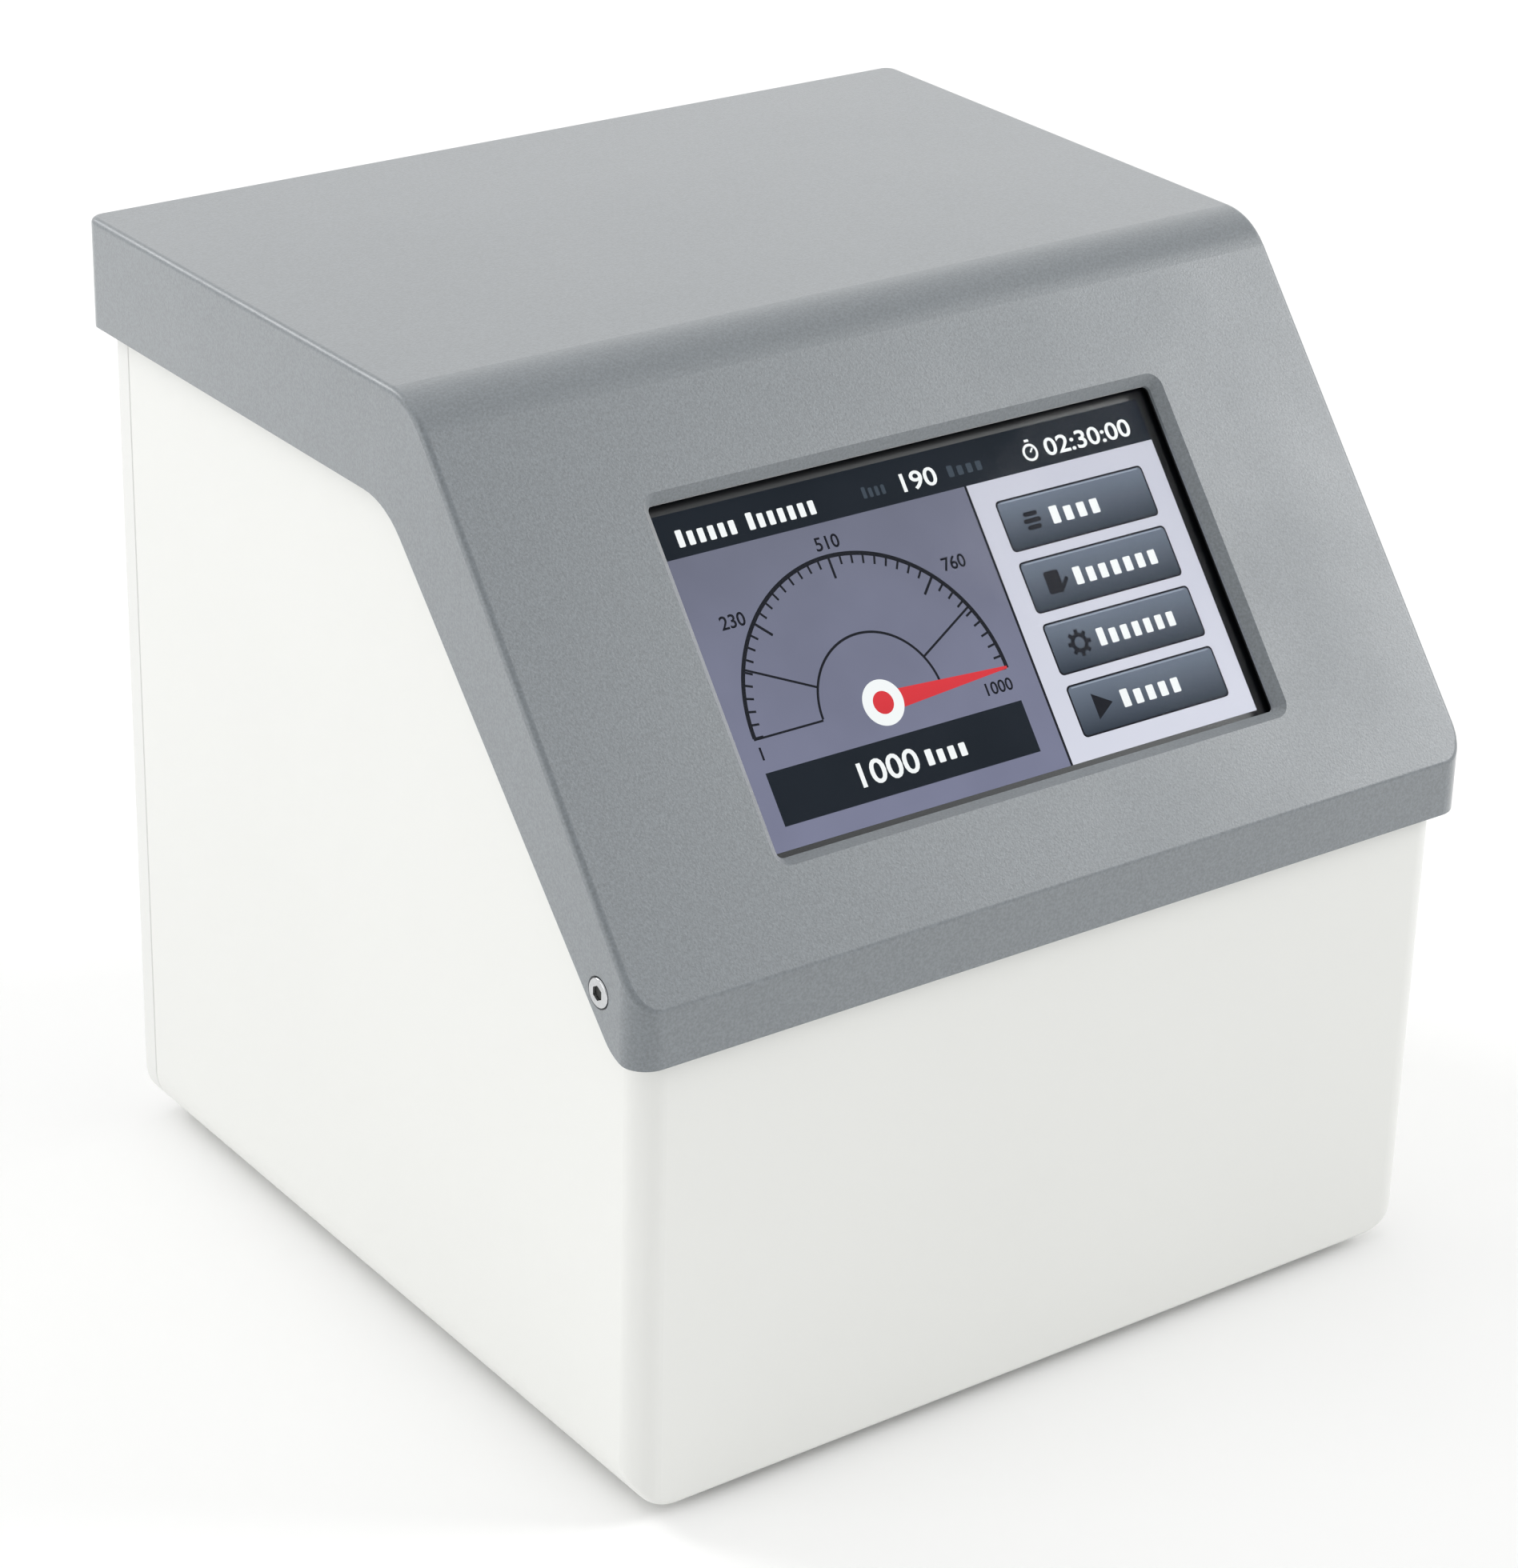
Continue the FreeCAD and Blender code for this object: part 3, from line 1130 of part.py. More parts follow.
def make_block():
    """Aluminium block with the ports, valve seats and cross channels."""
    size = ("dims.block_right - dims.block_left", "dims.block_deep", "dims.block_high")
    block = box("block_body", ("dims.block_left", BLOCK_FACE, "dims.block_low"), size)
    z = "dims.port_z"
    tools = []
    for tag, x, thread, deep, bore in (("system", "dims.system_x", "6.5", "9", "2.4"),
                                       ("pump", "dims.pump_x", "6.5", "9", "2.4"),
                                       ("vent", "dims.vent_x", "4", "8", "1.4")):
        tools.append(cylinder(f"{tag}_thread", (x, "dims.tub_back", z), thread, deep, "-y"))
        tools.append(cylinder(f"{tag}_passage", (x, f"dims.tub_back - {deep} + 0.1", z), bore, "3", "-y"))
    for tag, x in valve_places():
        tools.append(cylinder(f"{tag}_mouth", (x, BLOCK_FACE, z), "7", "4", "y"))
        chamber = cylinder(f"{tag}_chamber", (x, SEAT_Y, z), "4.5", "2", "y")
        tools.append(cut(f"{tag}_ring", chamber, [cylinder(f"{tag}_seat", (x, SEAT_Y, z), "2.2", "2", "y")]))
        tools.append(cylinder(f"{tag}_throat", (x, SEAT_Y, z), "1.2", "12", "y"))
        tools.append(cylinder(f"{tag}_feed", (x, SEAT_Y, f"{z} + 3.4"), "0.9", f"{CHANNEL_Y} - {SEAT_Y}", "y"))
        tools.append(cylinder(f"{tag}_riser", (x, CHANNEL_Y, f"{z} + 3.4"), "0.9", f"{UPPER_Z} - {z} - 3.4"))
    tools.append(cylinder("pump_channel", ("dims.valve_x", CHANNEL_Y, z), "1.5", "dims.pump_x - dims.valve_x", "x"))
    tools.append(cylinder("system_riser", ("dims.system_x", CHANNEL_Y, z), "2", f"{UPPER_Z} - {z}"))
    tools.append(cylinder("upper_channel", ("dims.block_left", CHANNEL_Y, UPPER_Z), "2",
                          "dims.vent_x - dims.block_left", "x"))
    tools.append(cylinder("plug_seat", ("dims.block_left", CHANNEL_Y, UPPER_Z), "3", "6", "x"))
    top = "dims.block_low + dims.block_high"
    tools.append(cylinder("sensor_seat", (*SENSOR, f"{top} - 3"), "8", "3"))
    tools.append(cylinder("sensor_port", (*SENSOR, UPPER_Z), "1.5", f"{top} - {UPPER_Z}"))
    for i, (x, screw_z) in enumerate(block_screw_places()):
        tools.append(cylinder(f"block_pilot_{i}", (x, "dims.tub_back", screw_z), "dims.screw_shank", "6", "-y"))
    node(cut("manifold", block, tools), "manifold_block")
    plug = cylinder("plug_body", ("dims.block_left", CHANNEL_Y, UPPER_Z), "3", "6", "x")
    key = hexagon("plug_key", ("dims.block_left", CHANNEL_Y, UPPER_Z), "3", "3", "x")
    node(cut("plug", plug, [key]), "channel_plug")
    shared["rear_panel_screws"] += [
        screw(f"manifold_screw_{i}", (x, PANEL_FACE, screw_z), "y", "10")
        for i, (x, screw_z) in enumerate(block_screw_places())
    ]


def turned(name, outline):
    """A body of revolution about its own Y axis from an outline (radius, y)."""
    body = doc.addObject("PartDesign::Body", f"body_{name}")
    sketch = sketch_on(body, "XY_Plane", f"{name}_section")
    profile(sketch, [(radius, y, "0") for radius, y in outline], "section")
    doc.recompute()
    feature = body.newObject("PartDesign::Revolution", f"{name}_turn")
    feature.Profile = sketch
    feature.ReferenceAxis = (sketch, ["V_Axis"])
    feature.Angle = 360
    body.Tip = feature
    doc.recompute()
    return body


def make_nozzles():
    """Two barbed hose nozzles, their washers, and the smaller vent nozzle.

    The barb crests are level with the land, so that a hose slides on without stretching further.
    """
    washer_top = f"{PANEL_FACE} + 1"
    tip = "(dims.overall_depth / 2)"
    barbs = 3
    land_end = f"{washer_top} + 11"
    barb_long = f"(({tip} - ({land_end})) / {barbs})"
    for name, x in (("system_nozzle", "dims.system_x"), ("pump_nozzle", "dims.pump_x")):
        outline = [
            ("dims.bore_radius", "dims.tub_back - 9"),
            ("6.5", "dims.tub_back - 9"),
            ("6.5", washer_top),
            ("8.2", washer_top),
            ("8.2", f"{washer_top} + 5"),
            ("dims.stem_radius", f"{washer_top} + 5"),
            ("dims.stem_radius", land_end),
        ]
        for i in range(barbs):
            start = f"{land_end} + {i} * {barb_long}"
            outline.append(("dims.stem_radius - dims.barb_depth", start))
            outline.append(("dims.stem_radius", f"{start} + 0.8"))
        outline.append(("dims.stem_radius - 1.2", tip))
        outline.append(("dims.bore_radius", tip))
        body = place(turned(name, outline), (x, "0", "dims.port_z"))
        collar = hexagon(f"{name}_collar", (x, washer_top, "dims.port_z"), "17", "4", "y")
        bore = cylinder(f"{name}_bore", (x, washer_top, "dims.port_z"), "dims.bore_radius", "10", "y")
        node(cut(name, fuse(f"{name}_body", [body, collar]), [bore]), name)
    washers = []
    for i, x in enumerate(("dims.system_x", "dims.pump_x")):
        ring = cylinder(f"washer_ring_{i}", (x, PANEL_FACE, "dims.port_z"), "9.4", "1", "y")
        hole = cylinder(f"washer_hole_{i}", (x, PANEL_FACE, "dims.port_z"), "6.5", "1", "y")
        washers.append(cut(f"washer_{i}", ring, [hole]))
    group("nozzle_washers", washers)
    outline = [
        ("1.4", "dims.tub_back - 8"),
        ("4", "dims.tub_back - 8"),
        ("4", PANEL_FACE),
        ("6.5", PANEL_FACE),
        ("6.5", f"{PANEL_FACE} + 3.5"),
        ("3", f"{PANEL_FACE} + 3.5"),
        ("3", f"{PANEL_FACE} + 9.5"),
        ("2.5", f"{PANEL_FACE} + 9.5"),
        ("3", f"{PANEL_FACE} + 10.2"),
        ("2.5", f"{PANEL_FACE} + 13.5"),
        ("3", f"{PANEL_FACE} + 14.2"),
        ("2.2", f"{PANEL_FACE} + 18"),
        ("1.4", f"{PANEL_FACE} + 18"),
    ]
    node(place(turned("vent_nozzle", outline), ("dims.vent_x", "0", "dims.port_z")), "vent_nozzle")


def make_valve(tag, x):
    """One solenoid valve: guide tube, coil, plunger, seal and spring, all about an axis along -Y."""
    z = "dims.port_z"
    seat = (x, SEAT_Y, z)
    stack = "(dims.seal_thick + dims.plunger_long + dims.valve_travel + 0.3)"
    outer = cylinder(f"{tag}_tube", seat, "dims.guide_radius", "dims.guide_long", "-y")
    thread = cylinder(f"{tag}_thread_end", seat, "7", "4", "-y")
    collar = hexagon(f"{tag}_collar", along(seat, "y", "-7"), "17", "3", "y")
    bore = cylinder(f"{tag}_bore", seat, "dims.guide_bore", stack, "-y")
    node(cut(f"{tag}_sleeve", fuse(f"{tag}_sleeve_body", [outer, thread, collar]), [bore]), f"{tag}_guide")

    coil_low = (f"{x} - dims.coil_half", f"{SEAT_Y} - 29", f"{z} - dims.coil_half")
    coil = box(f"{tag}_winding", coil_low, ("dims.coil_half * 2", "22", "dims.coil_half * 2"))
    hole = cylinder(f"{tag}_winding_hole", along(seat, "y", "-29"), "dims.guide_radius + 0.1", "22", "y")
    node(cut(f"{tag}_solenoid", coil, [hole]), f"{tag}_coil")

    front = along(seat, "y", "-dims.seal_thick")
    rod = cylinder(f"{tag}_rod", front, "dims.plunger_radius", "dims.plunger_long", "-y")
    pocket = cylinder(f"{tag}_pocket", along(front, "y", "8 - dims.plunger_long"), "2.6", "8", "-y")
    node(cut(f"{tag}_armature", rod, [pocket]), f"{tag}_plunger")
    node(cylinder(f"{tag}_pad", seat, "3.4", "dims.seal_thick", "-y"), f"{tag}_seal")

    nut_low = along(seat, "y", "-32")
    nut = cut(f"{tag}_nut", hexagon(f"{tag}_nut_body", nut_low, "17", "3", "y"),
              [cylinder(f"{tag}_nut_hole", nut_low, "dims.guide_radius", "3", "y")])

    spring_long = f"({stack} - dims.seal_thick - dims.plunger_long + 8 - 0.8)"
    helix = doc.addObject("Part::Helix", f"{tag}_coil_line")
    bind(helix, "Radius", "2")
    bind(helix, "Height", spring_long)
    bind(helix, "Pitch", f"{spring_long} / 6")
    section = doc.addObject("Part::Circle", f"{tag}_coil_section")
    bind(section, "Radius", "0.25")
    place(section, ("2", "0", "0"), X_AXIS, "90")
    doc.recompute()
    spring = doc.addObject("Part::Sweep", f"{tag}_coil_spring")
    spring.Sections = [section]
    spring.Spine = (helix, ["Edge1"])
    spring.Solid = True
    spring.Frenet = True
    place(spring, along(seat, "y", f"-{stack} + 0.4"), X_AXIS, "-90")
    node(spring, f"{tag}_spring")
    return nut


def make_sensor():
    """Pressure sensor on top of the block, with its sealing ring."""
    top = "dims.block_low + dims.block_high"
    ring = cylinder("seal_outer", (*SENSOR, f"{top} - 3"), "6", "1.2")
    hole = cylinder("seal_inner", (*SENSOR, f"{top} - 3"), "4", "1.2")
    node(cut("seal_ring", ring, [hole]), "sensor_seal")
    can = cylinder("sensor_can", (*SENSOR, f"{top} - 1.8"), "8", "8.8")
    collar = hexagon("sensor_collar", (*SENSOR, top), "17", "4")
    neck = cylinder("sensor_neck", (*SENSOR, f"{top} + 7"), "5", "4")
    node(fuse("sensor", [can, collar, neck]), "pressure_sensor")


# ---------------------------------------------------------------- wiring


def make_wiring():
    """Leads that the housing holds all the way, from tab or coil to board."""
    terminal_top = f"{BOARD_TOP} + {TERMINAL_HIGH}"
    switch_tab = f"{PANEL_FACE} - 26"
    x, z = "dims.inlet_x", "dims.inlet_z"
    mains = shared["mains_leads"]
    for i, step in enumerate((-7, 7)):
        pin = f"{x} + {step}"
        mains.append(wire(f"mains_wire_{i}", [(pin, BLADE_TAB, f"{z} + 2.5"), (pin, "29", f"{z} + 2.5"),
                                              (pin, "29", terminal_top)]))
    for i, (drop, turn_y, end_x) in enumerate(((-5, "40", "27.5"), (5, "44", "33"))):
        level = f"dims.switch_z + {drop}"
        mains.append(wire(f"switch_wire_{i}", [
            ("dims.switch_x", switch_tab, level), ("dims.switch_x", turn_y, level), (end_x, turn_y, level),
            (end_x, "29", level), (end_x, "29", terminal_top),
        ], "3.5"))
    stud_y, stud_high = "39", "6"
    stud = cylinder("stud_body", (x, stud_y, CHASSIS_TOP), "2.2", stud_high)
    node(stud, "earth_stud")
    mains.append(wire("earth_wire", [(x, BLADE_TAB, f"{z} + 6.5"), (x, stud_y, f"{z} + 6.5"),
                                     (x, stud_y, f"{CHASSIS_TOP} + {stud_high}")]))
    low_top = "36"
    shared["drive_leads"].append(wire("supply_wire", [
        ("22", "-52", CONNECTOR_TOP), ("22", "-52", low_top), ("-6", "-52", low_top), ("-6", "-52", CONNECTOR_TOP),
    ], "3"))
    coil_low = "dims.port_z - dims.coil_half"
    shared["drive_leads"] += [
        wire(f"valve_wire_{i}", [(at, "30", coil_low), (at, "30", CONNECTOR_TOP)])
        for i, at in enumerate(("dims.valve_x", "dims.vent_x - 2"))
    ]
    sensor_x, sensor_y = SENSOR
    neck = "dims.block_low + dims.block_high + 11"
    signals = shared["signal_leads"]
    signals.append(wire("sensor_wire", [
        (sensor_x, sensor_y, neck), (sensor_x, sensor_y, "172"), (sensor_x, "20", "172"),
        (sensor_x, "20", CONNECTOR_TOP),
    ], "8"))
    for i, at in enumerate(socket_places()):
        end_x, end_y = f"{-22 - 8 * i}", f"{12 - 10 * i}"
        signals.append(wire(f"signal_wire_{i}", [
            (at, f"{PANEL_FACE} - 15", "dims.socket_z"), (at, end_y, "dims.socket_z"),
            (end_x, end_y, "dims.socket_z"), (end_x, end_y, CONNECTOR_TOP),
        ], "8"))
    make_ribbon()


def make_ribbon():
    """Flat cable from the main board to a connector under the display board."""
    depth = f"({STACK_DEPTH} + dims.bracket_thick + dims.standoff_high + dims.board_thick)"
    plug_high = 4
    plug = box("display_plug", ("-67", "dims.window_centre - 18", f"-{plug_high}"), ("24", "6", str(plug_high)))
    shared["board_connectors"].append(slope_group("display_plug", [plug], depth))
    end_v = "(dims.window_centre - 15)"
    end_y = f"({FRONT} + {end_v} * cos(dims.slope_angle) + ({depth} + {plug_high}) * sin(dims.slope_angle))"
    end_z = f"(dims.lip_top + {end_v} * sin(dims.slope_angle) - ({depth} + {plug_high}) * cos(dims.slope_angle))"
    x, up_y = "-55", "-50"
    knee_z = f"{end_z} - ({up_y} - {end_y}) / tan(dims.slope_angle)"
    wide, thick = 20, 0.5

    def strip(start, _):
        corners = [(-1, -1), (1, -1), (1, 1), (-1, 1), (-1, -1)]
        return Part.makePolygon([start + FreeCAD.Vector(a * wide / 2, b * thick / 2, 0) for a, b in corners])

    points = [(x, up_y, f"{BOARD_TOP} + 6"), (x, up_y, knee_z), (x, end_y, end_z)]
    node(swept("ribbon", points, "8", strip, wide * thick), "display_ribbon")


# ---------------------------------------------------------------- build and write


def main():
    """Build every sub-part, check it and write its file."""
    make_hood()
    make_tub()
    make_panel()
    make_hood_fixings()
    make_display()
    make_boards()
    make_inlet()
    make_switch()
    make_sockets()
    make_block()
    make_nozzles()
    group("valve_nuts", [make_valve(tag, x) for tag, x in valve_places()])
    make_sensor()
    make_wiring()
    for name, items in shared.items():
        group(name, items)
    doc.recompute()

    faults = [item.Name for item in doc.Objects if "Invalid" in item.State or "Error" in item.State]
    faults += [item.Label for item in nodes if item.Shape.isNull() or not item.Shape.isValid()]
    faults += [item.Label for item in nodes if not item.Shape.Solids]
    if faults:
        raise ValueError(f"failed: {faults}")
    os.makedirs("parts", exist_ok=True)
    for item in nodes:
        item.Shape.exportStep(f"parts/{item.Label}.step")
    print(f"{len(nodes)} sub-parts written")


main()
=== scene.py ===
import json
import math

import bmesh
import bpy
from mathutils import Matrix, Vector


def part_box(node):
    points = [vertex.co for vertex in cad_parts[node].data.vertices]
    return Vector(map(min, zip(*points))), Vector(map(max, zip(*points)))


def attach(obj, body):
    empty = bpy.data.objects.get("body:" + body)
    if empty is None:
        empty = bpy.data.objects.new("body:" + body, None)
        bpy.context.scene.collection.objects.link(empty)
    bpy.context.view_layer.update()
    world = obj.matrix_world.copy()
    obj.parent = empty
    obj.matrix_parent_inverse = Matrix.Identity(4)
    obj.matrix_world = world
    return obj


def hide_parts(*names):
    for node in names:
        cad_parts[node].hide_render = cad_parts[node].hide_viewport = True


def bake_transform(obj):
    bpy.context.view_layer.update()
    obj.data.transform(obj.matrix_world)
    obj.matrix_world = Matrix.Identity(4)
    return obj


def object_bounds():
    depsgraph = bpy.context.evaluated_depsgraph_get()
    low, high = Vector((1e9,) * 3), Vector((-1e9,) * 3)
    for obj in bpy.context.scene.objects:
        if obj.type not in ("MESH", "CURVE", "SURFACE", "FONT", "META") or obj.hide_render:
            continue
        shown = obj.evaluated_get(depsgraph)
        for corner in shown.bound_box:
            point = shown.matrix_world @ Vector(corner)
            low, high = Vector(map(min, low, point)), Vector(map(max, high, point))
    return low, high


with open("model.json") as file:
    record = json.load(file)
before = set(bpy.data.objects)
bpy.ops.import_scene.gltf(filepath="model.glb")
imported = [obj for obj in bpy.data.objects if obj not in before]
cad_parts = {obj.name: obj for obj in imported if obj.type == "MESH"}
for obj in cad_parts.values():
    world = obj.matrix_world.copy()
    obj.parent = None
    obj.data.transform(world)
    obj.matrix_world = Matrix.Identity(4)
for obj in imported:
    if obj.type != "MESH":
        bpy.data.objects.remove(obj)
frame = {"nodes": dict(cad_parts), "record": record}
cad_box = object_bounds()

MM = 0.001
HOUSING = "housing"


# ------------------------------------------------------------------ materials


def linear(colour):
    """An sRGB colour, three numbers from 0 to 1, as linear light with full alpha."""
    return [c / 12.92 if c <= 0.04045 else ((c + 0.055) / 1.055) ** 2.4 for c in colour] + [1.0]


def shades(colour, spread):
    """The colour a little darker and a little lighter."""
    low = [max(c * (1 - spread), 0) for c in colour[:3]] + [1.0]
    high = [min(c * (1 + spread), 1) for c in colour[:3]] + [1.0]
    return low, high


class Nodes:
    """Short names for building one material's nodes."""

    def __init__(self, name):
        self.material = bpy.data.materials.new(name)
        self.material.use_nodes = True
        self.tree = self.material.node_tree
        self.shader = self.tree.nodes["Principled BSDF"]
        self.place = self.add("ShaderNodeTexCoord").outputs["Object"]

    def add(self, kind, **settings):
        item = self.tree.nodes.new(kind)
        for key, value in settings.items():
            setattr(item, key, value)
        return item

    def link(self, source, target):
        self.tree.links.new(source, target)

    def noise(self, scale, detail=2.0, stretch=None, rough=0.5):
        place = self.place
        if stretch:
            mapping = self.add("ShaderNodeMapping")
            mapping.inputs["Scale"].default_value = stretch
            self.link(place, mapping.inputs["Vector"])
            place = mapping.outputs["Vector"]
        item = self.add("ShaderNodeTexNoise")
        item.inputs["Scale"].default_value = scale
        item.inputs["Detail"].default_value = detail
        item.inputs["Roughness"].default_value = rough
        self.link(place, item.inputs["Vector"])
        return item.outputs["Fac"]

    def ramp(self, source, stops):
        item = self.add("ShaderNodeValToRGB")
        ramp = item.color_ramp
        ramp.elements[0].position, ramp.elements[0].color = stops[0]
        ramp.elements[1].position, ramp.elements[1].color = stops[-1]
        for position, colour in stops[1:-1]:
            ramp.elements.new(position).color = colour
        self.link(source, item.inputs["Fac"])
        return item.outputs["Color"]

    def spread(self, source, low, high, start=0.3, end=0.7):
        item = self.add("ShaderNodeMapRange")
        item.inputs["From Min"].default_value = start
        item.inputs["From Max"].default_value = end
        item.inputs["To Min"].default_value = low
        item.inputs["To Max"].default_value = high
        self.link(source, item.inputs["Value"])
        return item.outputs["Result"]

    def bump(self, source, strength, depth):
        item = self.add("ShaderNodeBump")
        item.inputs["Strength"].default_value = strength
        item.inputs["Distance"].default_value = depth
        self.link(source, item.inputs["Height"])
        return item.outputs["Normal"]


def moulded(name, colour, rough, grain=2600, bump=0.25, tone=0.03, speckle=0.03, specular=0.5, sheen=0.0):
    """Moulded plastic, rubber or enamel: slow shifts of tone, fine speckle, and a fine-grain surface."""
    n = Nodes(name)
    low, high = shades(colour, tone)
    base = n.ramp(n.noise(14, 3), [(0.3, low), (0.7, high)])
    fleck_low, fleck_high = shades([0.5, 0.5, 0.5], speckle)
    fleck = n.ramp(n.noise(grain * 0.8, 2, rough=0.7), [(0.35, fleck_low), (0.65, fleck_high)])
    mix = n.add("ShaderNodeMix", data_type="RGBA", blend_type="OVERLAY")
    mix.inputs["Factor"].default_value = 1.0
    n.link(base, mix.inputs[6])
    n.link(fleck, mix.inputs[7])
    n.link(mix.outputs[2], n.shader.inputs["Base Color"])
    n.link(n.spread(n.noise(30, 3), rough - 0.04, rough + 0.04), n.shader.inputs["Roughness"])
    n.link(n.bump(n.noise(grain, 3, rough=0.65), bump, 0.00006), n.shader.inputs["Normal"])
    n.shader.inputs["Specular IOR Level"].default_value = specular
    n.shader.inputs["Sheen Weight"].default_value = sheen
    n.shader.inputs["Sheen Roughness"].default_value = 0.4
    return n.material


def metal(name, colour, rough, stretch=(1, 1, 1), bump=0.1, tone=0.08):
    """Turned, brushed or plated metal; stretch runs the fine scratches along an axis."""
    n = Nodes(name)
    low, high = shades(colour, tone)
    scratch = n.noise(900, 4, stretch, 0.7)
    n.link(n.ramp(scratch, [(0.3, low), (0.7, high)]), n.shader.inputs["Base Color"])
    n.link(n.spread(n.noise(120, 3), rough - 0.06, rough + 0.08), n.shader.inputs["Roughness"])
    n.link(n.bump(scratch, bump, 0.00004), n.shader.inputs["Normal"])
    n.shader.inputs["Metallic"].default_value = 1.0
    return n.material


def board(name):
    """Circuit board: green solder mask with lighter tracks under it."""
    n = Nodes(name)
    bricks = n.add("ShaderNodeTexBrick")
    bricks.inputs["Scale"].default_value = 160
    bricks.inputs["Mortar Size"].default_value = 0.03
    bricks.inputs["Color1"].default_value = (0.006, 0.075, 0.03, 1)
    bricks.inputs["Color2"].default_value = (0.007, 0.09, 0.036, 1)
    bricks.inputs["Mortar"].default_value = (0.03, 0.2, 0.08, 1)
    n.link(n.place, bricks.inputs["Vector"])
    n.link(bricks.outputs["Color"], n.shader.inputs["Base Color"])
    n.link(n.spread(n.noise(200, 3), 0.25, 0.4), n.shader.inputs["Roughness"])
    n.link(n.bump(bricks.outputs["Fac"], 0.2, 0.00005), n.shader.inputs["Normal"])
    return n.material


def clear(name, tint, rough, gloss):
    """Thin clear glass: light passes straight through, with a reflection that grows at low angles."""
    n = Nodes(name)
    n.tree.nodes.remove(n.shader)
    through = n.add("ShaderNodeBsdfTransparent")
    low, high = shades(tint, 0.02)
    n.link(n.ramp(n.noise(20, 2), [(0.3, low), (0.7, high)]), through.inputs["Color"])
    shine = n.add("ShaderNodeBsdfGlossy")
    n.link(n.spread(n.noise(60, 4), rough, rough + 0.05), shine.inputs["Roughness"])
    fresnel = n.add("ShaderNodeFresnel")
    fresnel.inputs["IOR"].default_value = gloss
    mix = n.add("ShaderNodeMixShader")
    n.link(fresnel.outputs["Fac"], mix.inputs["Fac"])
    n.link(through.outputs["BSDF"], mix.inputs[1])
    n.link(shine.outputs["BSDF"], mix.inputs[2])
    output = n.tree.nodes["Material Output"]
    n.link(mix.outputs["Shader"], output.inputs["Surface"])
    return n.material


def lit(name, top, bottom, high, low, mottle=0.02):
    """Lit picture area: a colour that runs from top to bottom, with the faint unevenness of a backlight."""
    n = Nodes(name)
    parts = n.add("ShaderNodeSeparateXYZ")
    n.link(n.place, parts.inputs["Vector"])
    position = n.spread(parts.outputs["Y"], 0, 1, low * MM, high * MM)
    colour = n.ramp(position, [(0.0, linear(bottom)), (1.0, linear(top))])
    cloud_low, cloud_high = shades([0.5, 0.5, 0.5], mottle)
    cloud = n.ramp(n.noise(45, 3), [(0.3, cloud_low), (0.7, cloud_high)])
    mix = n.add("ShaderNodeMix", data_type="RGBA", blend_type="OVERLAY")
    mix.inputs["Factor"].default_value = 1.0
    n.link(colour, mix.inputs[6])
    n.link(cloud, mix.inputs[7])
    n.link(mix.outputs[2], n.shader.inputs["Emission Color"])
    n.shader.inputs["Emission Strength"].default_value = 1.0
    n.link(n.ramp(n.noise(45, 3), [(0.3, (0.004, 0.004, 0.005, 1)), (0.7, (0.008, 0.008, 0.01, 1))]),
           n.shader.inputs["Base Color"])
    n.shader.inputs["Roughness"].default_value = 0.6
    n.shader.inputs["Specular IOR Level"].default_value = 0.08
    return n.material


HOOD_GREY = (0.158, 0.179, 0.195)
TUB_WHITE = (0.795, 0.80, 0.775)
STEEL = (0.56, 0.57, 0.58)
NICKEL = (0.66, 0.65, 0.61)

